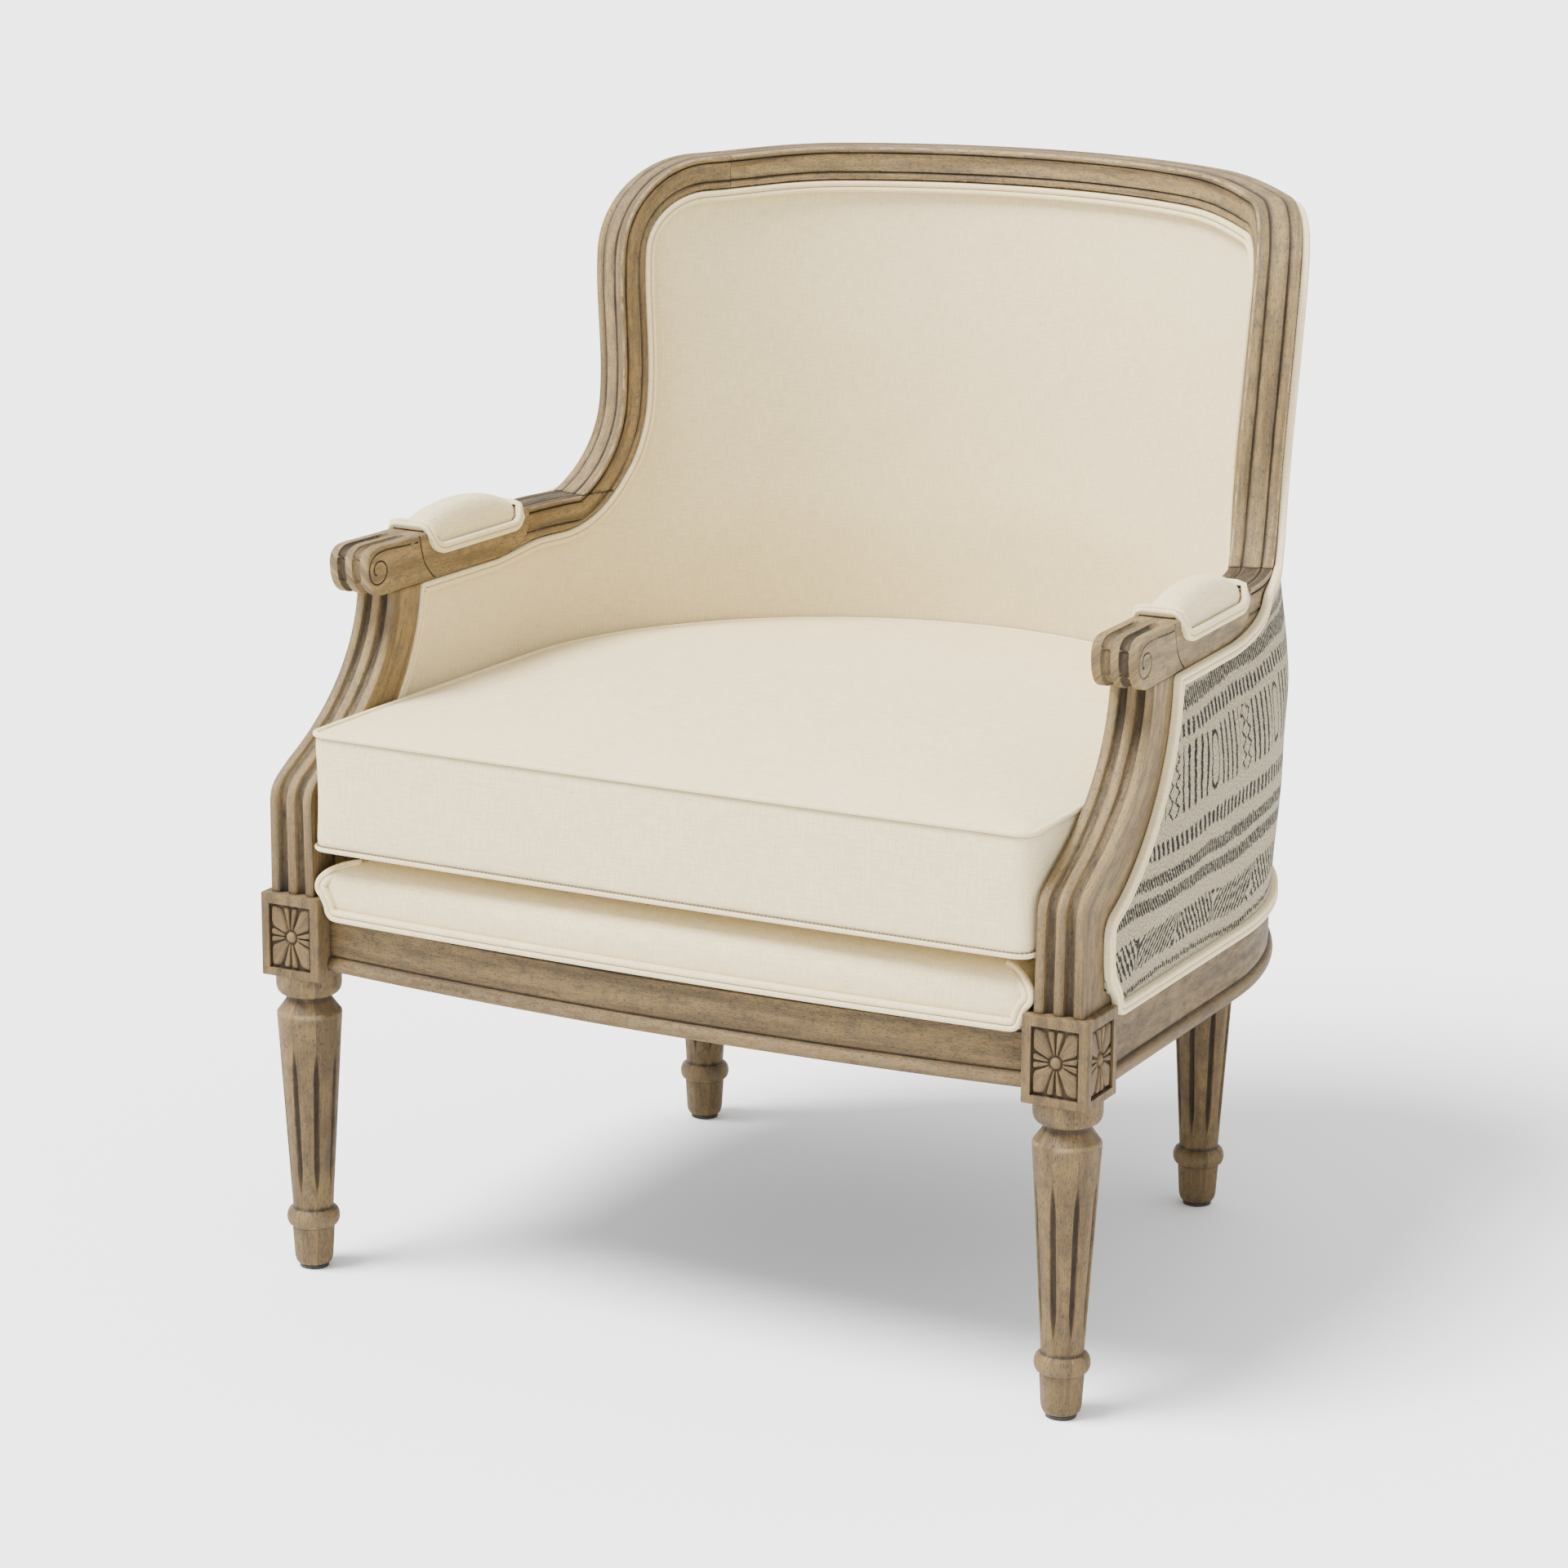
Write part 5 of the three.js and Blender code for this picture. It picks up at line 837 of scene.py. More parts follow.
# ---- Arms: an outline seen from the side, given its width, with coves, a scroll and a pad seat
armOutline = {
    "rear": flat((305, 582.6), (305.6, 573), (303, 563), (296, 555.2), (284, 550.6), (262, 547.4)),
    "nose": flat((95, 547), (88, 547), (81, 548.4), (74.4, 552.8), (69.6, 560), (67.5, 569), (67.6, 577),
                 (71, 583.4), (78, 586.8), (88, 587.6), (100, 587.4)),
    "frontTop": 587, "rearTop": 583, "seatFront": 155, "seatRear": 291, "frontRun": 21, "rearRun": 13,
}
spiral = flat(
    (139, 581.6), (126, 582), (114, 582.6), (101, 583.4), (89.6, 583.4), (80.5, 582.2), (74, 579), (70.2, 574),
    (69.4, 568), (71.2, 562.5), (75, 558.8), (80.6, 557.2), (86.5, 557.9), (91.4, 560.9), (94, 566), (92.6, 571.2),
    (88.6, 574.6), (83.4, 575.7), (78.6, 574.4), (76, 570.6), (76.6, 566.6), (79.6, 564.6))
tongueLine = flat((141, 587), (142.2, 580), (144.4, 572), (148, 563), (155.5, 554), (162.5, 548.4), (166, 546.6))


def armPoint(y, z, depth):
    return onWall(stationAt(y, z), z, depth)


def armShape():
    o = armOutline
    rear = smoothLine(o["rear"], 5)
    nose = smoothLine(o["nose"], 4)
    front, back = o["seatFront"], o["seatRear"]
    down = [Vector((front + o["frontRun"] * math.sin(a), arm["seat"] + (o["frontTop"] - arm["seat"]) * math.cos(a)))
            for a in steps(0, math.pi / 2, 6)]
    up = [Vector((back - o["rearRun"] * math.sin(a), arm["seat"] + (o["rearTop"] - arm["seat"]) * math.cos(a)))
          for a in steps(math.pi / 2, 0, 6)]
    return rear + nose + [Vector((130, o["frontTop"]))] + down + up


def armBlock():
    outline = armShape()
    bm = newMesh()
    circle = bmesh.ops.create_circle(bm, segments=len(outline), radius=1, cap_ends=True)["verts"]
    for v, p in zip(circle, outline):
        v.co = (-arm["proud"], p.x, p.y)
    face = bm.faces[:]
    far = bmesh.ops.extrude_face_region(bm, geom=face)["geom"]
    bmesh.ops.translate(
        bm, verts=[g for g in far if isinstance(g, bmesh.types.BMVert)],
        vec=(arm["depth"] + 2 * arm["proud"], 0, 0))
    edges = [e for e in bm.edges if abs(e.verts[0].co.x - e.verts[1].co.x) < 1e-6]
    bmesh.ops.bevel(
        bm, geom=edges, offset=arm["edge"], offset_type="OFFSET", segments=3, profile=0.5, affect="EDGES",
        material=-1)
    grain = bm.loops.layers.uv["grain"]
    for part in bm.faces:
        for loop in part.loops:
            x, y, z = loop.vert.co
            loop[grain].uv = (y * mm, (z + x) * mm)
    # Painted shadow line along the block's rear end, where it stands proud of the moulded rear
    rear = evenly(smoothLine(armOutline["rear"], 5), 1)
    darkened(bm, lambda p: min((r - p.yz).length for r in rear) < arm["edge"], 0.85)
    for v in bm.verts:
        v.co = armPoint(v.co.y, v.co.z, v.co.x)
    return bm


def armTools():
    bm = newMesh()
    # The cut faces take the tools' carve: glaze with painted shade, full in the incised lines and half in the coves
    line = smoothLine(spiral, 6)
    for depth in (-arm["proud"], arm["depth"] + arm["proud"]):
        tube(bm, [armPoint(p.x, p.y, depth) for p in line], arm["line"], 6)
        tube(bm, [armPoint(p.x, p.y, depth) for p in smoothLine(tongueLine, 6)], arm["line"], 6)
    lap = [Vector((98, 547)), *armOutline["nose"], Vector((128, 587.3)), Vector((136, 587))]
    path = evenly(smoothLine(lap, 8), 2.2)
    lift = arm["cove"] - arm["coveDepth"]
    for share in (0.3, 0.7):
        moves = rightSteps(path)
        points = []
        for i, (p, move) in enumerate(zip(path, moves)):
            fade = max(0, 1 - min(i, len(path) - 1 - i) / 4)
            at = p - move * (lift + fade * fade * arm["coveDepth"])
            points.append(armPoint(at.x, at.y, arm["depth"] * share))
        tube(bm, points, arm["cove"], 12, 0.5)
    return bm


def makeArms(rear):
    bm = carvedOut(armBlock(), armTools())
    under = newMesh()
    tongue = [(y, z, d) for z, d in ((520, 0), (520, 24), (548, 24), (548, 0)) for y in (0,)]
    rings = []
    for s in steps(stationAt(164, 547), elbowStation - 6, 24):
        rings.append([onWall(s, z, d) for _, z, d in tongue])
    sweep(under, rings, [0] * 4)
    closeHoles(under)
    for part in (rear, under):
        mesh = bpy.data.meshes.new("joined")
        part.to_mesh(mesh)
        part.free()
        bm.from_mesh(mesh)
        bpy.data.meshes.remove(mesh)
    newPair("arm", bm, wood, "painted_wood", ["arm"])


# ---- Arm posts
post = {
    "width": 40, "topWidth": 36, "front": 22, "rear": 12, "bottom": 321.3, "kneeBottom": 395, "kneeFront": 5,
    "kneeTop": 425, "topFront": 104, "topRear": 142, "heelBottom": 370, "heelRear": 24, "heelTop": 392,
    "reeds": 3, "lip": 0.8, "cove": 5.2, "coveShare": 1.12, "flange": 20, "wall": 24,
}


def sweptEdge(foot, knee, bend, top, low, high, spacing=4):
    line = [foot, *bezier(knee, Vector((knee.x, mix(knee.y, bend.y, low[0]))),
                          Vector((mix(knee.x, bend.x, low[1]), mix(knee.y, bend.y, low[2]))), bend, 16)]
    line += bezier(bend, Vector((mix(bend.x, top.x, high[0]), mix(bend.y, top.y, high[1]))),
                   Vector((mix(bend.x, top.x, high[2]), mix(bend.y, top.y, high[3]))), top, 30)[1:]
    return line


def postRear():
    top = arm["bottom"] - 0.3
    return sweptEdge(
        Vector((post["rear"], post["bottom"])), Vector((post["rear"], post["heelBottom"])),
        Vector((post["heelRear"], post["heelTop"])), Vector((post["topRear"], top)),
        (0.55, 0.33, 0.82), (0.45, 0.14, 0.966, 0.55))


def postFront():
    top = arm["bottom"] - 0.3
    return sweptEdge(
        Vector((-post["front"], post["bottom"])), Vector((-post["front"], post["kneeBottom"])),
        Vector((post["kneeFront"], post["kneeTop"])), Vector((post["topFront"], top)),
        (0.57, 0.52, 0.7), (0.43, 0.17, 0.95, 0.49))


def reedFace():
    points, gaps = [], post["reeds"] - 1
    reed = 1 / (post["reeds"] + gaps * post["coveShare"])
    cove, start = reed * post["coveShare"], 0.0
    for i in range(post["reeds"]):
        for u in steps(0, 1, 6):
            edge = abs(2 * u - 1)
            points.append((start + u * reed, post["lip"] * edge ** 6, -0.3 + 0.3 * edge ** 4))
        start += reed
        if i < gaps:
            # Coves between the reeds: carve up to 0.7 at the bottom, for glaze with painted shade
            for u in steps(0, 1, 8)[1:-1]:
                hollow = math.sqrt(1 - (2 * u - 1) ** 2)
                points.append((start + u * cove, mix(post["lip"], post["cove"], hollow), 0.3 + 0.4 * hollow))
            start += cove
    return points


def makePosts():
    fronts, rears = evenly(postFront(), 3.6), postRear()
    rears = evenly(rears, sum((b - a).length for a, b in zip(rears, rears[1:])) / (len(fronts) - 1))
    face, rings, carves = reedFace(), [], []
    for front, rear in zip(fronts, rears):
        back = (rear - front).normalized()
        thick = (rear - front).length
        share = clamp((front.y - post["bottom"]) / (arm["bottom"] - post["bottom"]))
        width = mix(post["width"], post["topWidth"], share)
        wall = post["wall"] / width
        section = [(a, d) for a, d, _ in face]
        section += [(1, mix(post["lip"], thick, 0.5)), (1, thick - 0.8), (0.98, thick), (wall, thick)]
        section += [(wall, thick + post["flange"]), (0, thick + post["flange"]), (0, mix(post["lip"], thick, 0.5))]
        ring = []
        for across, deep in section:
            p = front + back * deep
            ring.append(placed(outerX(p.x, p.y) - across * width, p.x, p.y))
        rings.append(ring)
        # Painted shade in the coves: under the arm near the top, and where the post's foot meets the block
        paintedCoveShade = 0.3 * eased((p.y - 470) / 70) + 0.25 * eased((345 - p.y) / 24)
        carves.append([carve + paintedCoveShade if carve > 0 else carve for _, _, carve in face] + [0, -0.3, 0, 0, 0, 0, 0])
    bm = newMesh()
    sweep(bm, rings, carves, start=(0.9, 0.3), ends=0.6)
    closeHoles(bm)
    newPair("arm_post", bm, wood, "painted_wood", ["arm_post"])


# ---- Legs
leg = {
    "frontX": 336, "rearX": 239.98, "rearY": 489.98, "block": 54, "blockBottom": 252, "blockTop": 321,
    "railBottom": 258, "flutes": 8, "fluteBottom": 66, "fluteTop": 190, "fluteHalf": 2.6, "flutePoint": 26,
    "fluteDepth": 2.3, "edge": 1.2,
}
panel = {"side": 7.5, "top": 8.5, "bottom": 7, "depth": 3.4}
rosette = {"button": 4.4, "start": 5.4, "rise": 2.7, "margin": 0.9, "gap": 0.5}


# The turned outline: radius, height and how dark the glaze and painted shade lie
def legOutline(top):
    line = [(0.01, 3, 0), (11.5, 3, 0), (13.4, 3.8, 0), (14.7, 5.6, -0.2), (15.6, 9, -0.2)]
    line += [(mix(15.7, 17.2, u), mix(10, 35, u), 0) for u in steps(0, 1, 6)]
    line += [(17.3, 36, 0.8)]
    line += [(17.4 + 4.2 * math.cos(a), 43.5 + 7.2 * math.sin(a), -0.4 * math.cos(a)) for a in steps(-1.45, 1.45, 12)]
    line += [(16.9, 51.6, 0.9), (16.4, 53.4, 0.6)]
    line += [(mix(16.6, 25.3, u), mix(55, 200, u), 0) for u in steps(0, 1, 60)]
    line += [(25.8, 207, 0), (26.2, 213, 0), (26.4, 217.4, -0.4), (26.2, 218.8, -0.8), (25.5, 219.8, -0.8)]
    line += [(24.6, 220.8, -0.3), (22.6, 223.6, 0), (20.6, 226.4, 0.1), (19.2, 228.4, 0.3), (18.4, 229.8, 0.7)]
    line += [(18.1, 231.2, 0.9), (18.4, 232.6, 0.9)]
    line += [(19 + 7.4 * math.sin(a), 241.5 - 8 * math.cos(a), 0.5 - 0.7 * math.sin(a)) for a in steps(0.1, 1.57, 7)]
    line += [(26.6, 242.5, -0.3)] + [(26.6, mix(244, top, u), 0) for u in (0, 0.5, 1)] + [(0.01, top, 0)]
    return line


def makeShaft(bm, x, y, top):
    line = legOutline(top)
    inFlute, between_ = steps(-1, 1, 8), steps(0, 1, 5)[1:-1]
    spots = []
    for k in range(leg["flutes"]):
        spots += [(k, t, None) for t in inFlute] + [(k, None, u) for u in between_]
    sector = 2 * math.pi / leg["flutes"]

    def place(i, j):
        radius, z, carve = line[j]
        k, t, u = spots[i % len(spots)]
        end = min(z - leg["fluteBottom"], leg["fluteTop"] - z)
        open_ = math.sin(math.pi / 2 * clamp(end / leg["flutePoint"])) ** 0.8
        half = max(leg["fluteHalf"] * open_, 0.35) / max(radius, 6)
        middle = k * sector
        if u is None:
            deep = leg["fluteDepth"] * open_ * math.sqrt(max(1 - t * t, 0)) if end > 0 else 0
            angle = middle + t * half
            # Flutes: glaze with painted shade, darker the deeper the flute
            carve = max(carve, clamp(deep / leg["fluteDepth"] * 1.1)) if deep > 0.2 else carve
            radius -= deep
        else:
            angle = middle + mix(half, sector - half, u)
        turn = angle + (sector * leg["flutes"] if i == len(spots) and angle < 0 else 0)
        point = placed(x + radius * math.cos(turn), y + radius * math.sin(turn), z)
        return point, carve, z * mm, i / len(spots) * 0.14

    made = layGrid(bm, len(spots), len(line) - 1, place)
    bmesh.ops.remove_doubles(bm, verts=made, dist=2e-5)


def petalAngles():
    low, high = math.radians(21), math.radians(72)
    edges = [0, low, high, math.pi / 2]
    quarter = list(zip(edges, edges[1:]))
    return [(a + k * math.pi / 2, b + k * math.pi / 2) if k % 2 == 0 else
            ((k + 1) * math.pi / 2 - b, (k + 1) * math.pi / 2 - a) for k in range(4) for a, b in quarter]


# A rosette of twelve petals and a button, face-on: put(u, v, out) places a point
def makeRosette(bm, half, tall, put):
    grainSeed = 0.05
    for a, b in petalAngles():
        a, b = a + 0.035, b - 0.035
        wide = b - a

        def place(i, j):
            s, t = i / 10, j / 12
            angle = mix(a, b, s)
            reach = min((half - rosette["margin"]) / max(abs(math.cos(angle)), 1e-3),
                        (tall - rosette["margin"]) / max(abs(math.sin(angle)), 1e-3))
            reach *= 1 - 0.11 * (2 * s - 1) ** 4
            r = mix(rosette["start"], reach, t)
            dome = (1 - (2 * s - 1) ** 6) * (1 - (2 * t - 1) ** 10)
            dish = 0.22 * (1 - (2 * s - 1) ** 2) * t * (1 if wide > 0.5 else 0.4)
            out = -0.4 + (rosette["rise"] + 0.4) * dome * (mix(0.75, 1, t) - dish)
            # Gaps between the petals: glaze with painted shade; the petal domes worn lighter
            carve = 0.85 - 1.1 * dome if dome < 0.8 else -0.05 + dish
            return put(r * math.cos(angle), r * math.sin(angle), out), carve, r * mm + grainSeed, angle * 0.02

        layGrid(bm, 10, 12, place)
    made = bmesh.ops.create_uvsphere(bm, u_segments=20, v_segments=12, radius=1)["verts"]
    for v in made:
        x, y, z = v.co
        v.co = put(x * rosette["button"], y * rosette["button"], z * 3.1)
        v[bm.verts.layers.float["carve"]] = -0.3 * z


def makeBlock(bm, x, y):
    half, low, high = leg["block"] / 2, leg["blockBottom"], leg["blockTop"]
    made = bmesh.ops.create_cube(bm, size=1)["verts"]
    for v in made:
        v.co = (v.co.x * 2 * half, v.co.y * 2 * half, mix(low, high, v.co.z + 0.5))
    faces = [f for f in {f for v in made for f in v.link_faces}
             if f.normal.y < -0.9 or f.normal.x > 0.9]
    faces.sort(key=lambda f: f.calc_center_median().x)
    outer = [e for v in made for e in v.link_edges]
    carve = bm.verts.layers.float["carve"]
    for face in faces:
        inner = bmesh.ops.inset_individual(bm, faces=[face], thickness=panel["side"], use_even_offset=True)
        for v in face.verts:
            v.co.z = low + panel["bottom"] if v.co.z < (low + high) / 2 else high - panel["top"]
        across = face.calc_center_median()
        normal = face.normal.copy()
        deeper = bmesh.ops.extrude_face_region(bm, geom=[face])["geom"]
        down = [g for g in deeper if isinstance(g, bmesh.types.BMVert)]
        bmesh.ops.translate(bm, verts=down, vec=-normal * panel["depth"])
        # Panel floors: glaze with painted shade in the recess
        for v in down:
            v[carve] = 0.95
        bmesh.ops.delete(bm, geom=[face], context="FACES_ONLY")
    edges = list({e for e in outer if e.is_valid})
    bmesh.ops.bevel(
        bm, geom=edges, offset=leg["edge"], offset_type="OFFSET", segments=3, profile=0.5, affect="EDGES",
        material=-1)
    for v in bm.verts:
        v.co = placed(v.co.x + x, v.co.y + y, v.co.z)
    grain = bm.loops.layers.uv["grain"]
    for face in bm.faces:
        for loop in face.loops:
            p = loop.vert.co
            loop[grain].uv = (p.z + 0.3, p.x + p.y)


def makeLegs():
    bm = newMesh()
    x, half = leg["frontX"], leg["block"] / 2
    makeBlock(bm, x, 0)
    wide = half - panel["side"]
    tall = (leg["blockTop"] - leg["blockBottom"] - panel["top"] - panel["bottom"]) / 2
    middle = leg["blockBottom"] + panel["bottom"] + tall
    floor = half - panel["depth"]
    makeRosette(bm, wide, tall, lambda u, v, out: placed(x + u, -floor - out, middle + v))
    makeRosette(bm, wide, tall, lambda u, v, out: placed(x + floor + out, u, middle + v))
    makeShaft(bm, x, 0, leg["blockBottom"] + 1)
    newPair("front_leg", bm, wood, "painted_wood", ["front_leg"])
    rear = newMesh()
    makeShaft(rear, leg["rearX"], leg["rearY"], leg["railBottom"] - 0.3)
    newPair("back_leg", rear, wood, "painted_wood", ["back_leg"])


# ---- Seat rails
rail = {"bottom": 258, "ledge": 306, "top": 321, "bead": 4, "beadHeight": 11.5, "wall": 24, "depth": 52}
railJoint = plan["backRadius"] * math.radians(52)
frontRail = {"halfWidth": 308.7, "face": 10, "bow": 18, "back": 22}


def beadedEdge():
    low, tall, out = rail["bottom"], rail["beadHeight"], rail["bead"]
    half = tall / 2
    edge = [(-out + half * 0.9 * (1 - math.cos(a)) * 0.85, low + half + half * math.sin(a), -0.5 * math.cos(a))
            for a in steps(-math.pi / 2, math.pi / 2, 12)]
    # The quirk above the bead: glaze with painted shade
    edge += [(1.1, low + tall + 0.4, 1.0), (1.2, low + tall + 1.0, 1.0), (0.6, low + tall + 1.8, 0.6)]
    return edge


def makeRails():
    edge = beadedEdge()
    section = edge + [(0, 273, 0), (0, 288, 0), (0, 304, 0.1), (0, rail["top"], 0), (rail["wall"], rail["top"], 0),
                      (rail["wall"], rail["ledge"], 0), (rail["depth"], rail["ledge"], 0),
                      (rail["depth"], rail["bottom"], 0)]
    start = stationAt(leg["block"] / 2 + 0.3, rail["bottom"])
    for name, stations, nodes in (
            ("side_rail", steps(start, railJoint, 150), ["side_rail"]),
            ("back_rail", steps(railJoint + 0.3, 2 * backStation - railJoint - 0.3, 120), ["back_rail"])):
        bm = newMesh()
        rings = [[onWall(s, z, d) for d, z, _ in section] for s in stations]
        sweep(bm, rings, [carve for _, _, carve in section], False, (0.2, 0.8) if name == "side_rail" else (2.2, 1.4), 0.7)
        closeHoles(bm)
        if name == "side_rail":
            newPair(name, bm, wood, "painted_wood", nodes)
        else:
            newPiece("back_rail_look", bm, wood, "painted_wood", nodes)
    half = frontRail["halfWidth"]
    # The small groove at the top of the front rail: glaze with painted shade
    section = edge + [(0, 273, 0), (0, 288, 0), (0, 300.6, 0.1), (0.9, 301.6, 0.9), (0.9, 302.4, 0.9), (-0.4, 303.2, 0),
                      (-0.9, 304.6, -0.4), (-0.4, 305.6, -0.4), (0.6, rail["ledge"], 0)]
    rings = []
    for x in steps(-half, half, 110):
        face = -frontRail["face"] - frontRail["bow"] * (1 - (x / half) ** 2)
        ring = [placed(x, face + d, z) for d, z, _ in section]
        ring += [placed(x, frontRail["back"], rail["ledge"]), placed(x, frontRail["back"], rail["bottom"])]
        rings.append(ring)
    bm = newMesh()
    sweep(bm, rings, [carve for _, _, carve in section] + [0, 0], False, (3.1, 1.1), 0.7)
    closeHoles(bm)
    newPiece("front_rail_look", bm, wood, "painted_wood", ["front_rail"])


armRear = makeStiles()
makeCrest()
makeArms(armRear)
makePosts()
makeLegs()
makeRails()
print("wooden frame made")

# ---- Upholstery on the wall: the lines that hold the covers, then the shells between them
lining = {"edge": 31.5, "full": 37.6, "hold": 44, "reach": 95, "thick": 4, "foot": 307, "roof": 546.7}
coverShape = {
    "foot": 309, "inset": 3, "edge": 1.9, "low": 8, "high": 15.5, "peak": 530, "spread": 75, "hold": 44, "reach": 62,
    "thick": 1.4, "edgeSet": 5,
}


def postEdge(foot, clear, roof, spacing):
    blockRear, overBlock = leg["block"] / 2 + 2 * clear, leg["blockTop"] + 2 * clear
    rear = movedRight(postRear(), clear)
    low = [Vector((blockRear, foot)), Vector((blockRear, overBlock)), Vector((post["rear"] + clear, overBlock + 1))]
    line = low + [p for p in rear if overBlock + 2 < p.y < roof - 0.5]
    line.append(Vector((crossing(rear, roof, 1, 0), roof)))
    return [Vector((stationAt(p.x, p.y), p.y)) for p in evenly(line, spacing)]


# The whole edge of the frame, moved inwards: from the elbow round to the middle of the back
def heldEdge(shift):
    return movedRight(evenly(rimCurve(), rim["spacing"]), shift)


# From under the arm in a smooth climb to a point some way along the frame's edge
def climbing(climb, edge, joins):
    line = evenly(smoothLine([Vector((stationAt(y, z), z)) for y, z in climb] + [edge[joins], edge[joins + 2]], 6), 3.6)
    return [p for p in line if p.y < edge[joins].y - 1.5] + edge[joins:]


def risen(line, least=1.2):
    kept = [line[0]]
    for p in line[1:]:
        if p.y > kept[-1].y + least:
            kept.append(p)
    if line[-1].y > kept[-1].y:
        kept[-1] = line[-1]
    return kept


def patchGrid(bottom, top, left, right, rise):
    columns, grid = len(bottom) - 1, []
    for i, v in enumerate(rise):
        row = []
        for j in range(columns + 1):
            u = j / columns
            p = bottom[j] * (1 - v) + top[j] * v + left[i] * (1 - u) + right[i] * u
            p -= bottom[0] * (1 - u) * (1 - v) + bottom[columns] * u * (1 - v)
            p -= top[0] * (1 - u) * v + top[columns] * u * v
            row.append(p)
        grid.append(row)
    return grid


# Grids over one half: below the roof line, and above it beside and over the middle of the back
def shellGrids(front, edge, spacing):
    k = max(range(len(edge)), key=lambda i: edge[i].y - edge[i].x)
    side, crest = risen(edge[:k + 1]), edge[k:]
    crest[0] = side[-1]
    roof, turn, corner, joint = side[0].y, side[0].x, side[-1], splitStation
    back = steps(joint, backStation, round((backStation - joint) / spacing))
    rest = steps(turn, joint, round((joint - turn) / spacing))
    lead = round((turn - front[0].x) / spacing)

    def row(stations, z):
        return [Vector((s, z)) for s in stations]

    def crestAt(s):
        return crossing(crest, s, 0, 1)

    rise = [(p.y - roof) / (corner.y - roof) for p in side]
    jointEdge = [Vector((joint, mix(roof, crestAt(joint), v))) for v in rise]
    top = [Vector((s, crestAt(s))) for s in steps(corner.x, joint, len(rest) - 1)]
    return [
        [row(steps(p.x, turn, lead) + rest[1:] + back[1:], p.y) for p in risen(front)],
        patchGrid(row(rest, roof), top, side, jointEdge, rise),
        [[Vector((s, mix(roof, crestAt(s), v))) for s in back] for v in rise],
    ]


def nearest(points):
    tree = KDTree(len(points))
    for i, p in enumerate(points):
        tree.insert((p.x, p.y, 0), i)
    tree.balance()
    return lambda p: tree.find((p.x, p.y, 0))[2]


def shellPiece(name, grids, near, far, material, slot, node):
    bm = newMesh()
    for grid in grids:
        for sign in (1, -1):
            layGrid(bm, len(grid[0]) - 1, len(grid) - 1, lambda i, j: (
                Vector((grid[j][i].x if sign > 0 else 2 * backStation - grid[j][i].x, grid[j][i].y, 0)), 0, 0, 0))
    bmesh.ops.remove_doubles(bm, verts=bm.verts, dist=0.02)
    bmesh.ops.recalc_face_normals(bm, faces=bm.faces)
    grown = bmesh.ops.extrude_face_region(bm, geom=bm.faces[:])["geom"]
    inside = {v for v in grown if isinstance(v, bmesh.types.BMVert)}
    grain = bm.loops.layers.uv["grain"]
    for face in bm.faces:
        for loop in face.loops:
            loop[grain].uv = loop.vert.co.xy * mm
    for v in bm.verts:
        p = Vector((min(v.co.x, 2 * backStation - v.co.x), v.co.y))
        v.co = onWall(v.co.x, v.co.y, near(p) if v in inside else far(p))
    piece = newPiece(name, bm, material, slot, [node], sharp=60)
    return piece


def liningLines():
    roof, clear = lining["roof"], 0.8
    low = [Vector((stationAt(y, roof), roof)) for y in (245, 255)]
    side = [p for p in innerEdge(clear) if p.x > low[-1].x + 4]
    line = evenly(low + side, rim["spacing"]) + movedRight(crestLine, bandWidth + clear)[1:]
    return postEdge(lining["foot"], 1.6, roof, 5), line


def makeLining():
    front, edge = liningLines()
    away = nearest(evenly(front + edge, 1))

    def depthAt(p):
        share = eased((away(p) - 4) / (lining["hold"] + lining["reach"]))
        ripple = noise.noise(Vector((p.x * 0.02, p.y * 0.02, 3))) * 0.5 * share
        return mix(lining["edge"], lining["full"], share) + ripple

    return shellPiece(
        "inner_lining_look", shellGrids(front, edge, 5), lambda p: lining["edge"] - lining["thick"], depthAt,
        canvas, "canvas", "inner_lining")


def coverLines(inset):
    roof = lining["roof"] - inset
    climb = [(262, 546.7), (288, 549), (313, 554), (334, 562), (348, 574)]
    edge = climbing([(y, z - inset) for y, z in climb], heldEdge(coverShape["edgeSet"] + inset), 3)
    return postEdge(coverShape["foot"] + inset, 0.4 + inset, roof, 5), edge


def makeCoverShell():
    front, edge = coverLines(coverShape["inset"])
    away = nearest(evenly([Vector((backStation, front[0].y))] + front + edge, 1))

    def depthAt(p):
        share = eased((away(p) - 3) / (coverShape["hold"] + coverShape["reach"]))
        peak = math.exp(-(((p.y - coverShape["peak"]) / coverShape["spread"]) ** 2))
        swell = mix(coverShape["low"], coverShape["high"], peak)
        ripple = noise.noise(Vector((p.x * 0.018, p.y * 0.018, 7))) * 0.8 * share
        return -coverShape["edge"] - swell * share - ripple

    return shellPiece(
        "outer_cover_look", shellGrids(front, edge, 5), lambda p: -0.3, depthAt, cover, "woven_cover",
        "outer_cover")


# ---- Double welt: two cords side by side, with the stitching between them and painted shade in the valley
welt = {"width": 9.5, "thick": 6.8, "valley": 1.8}


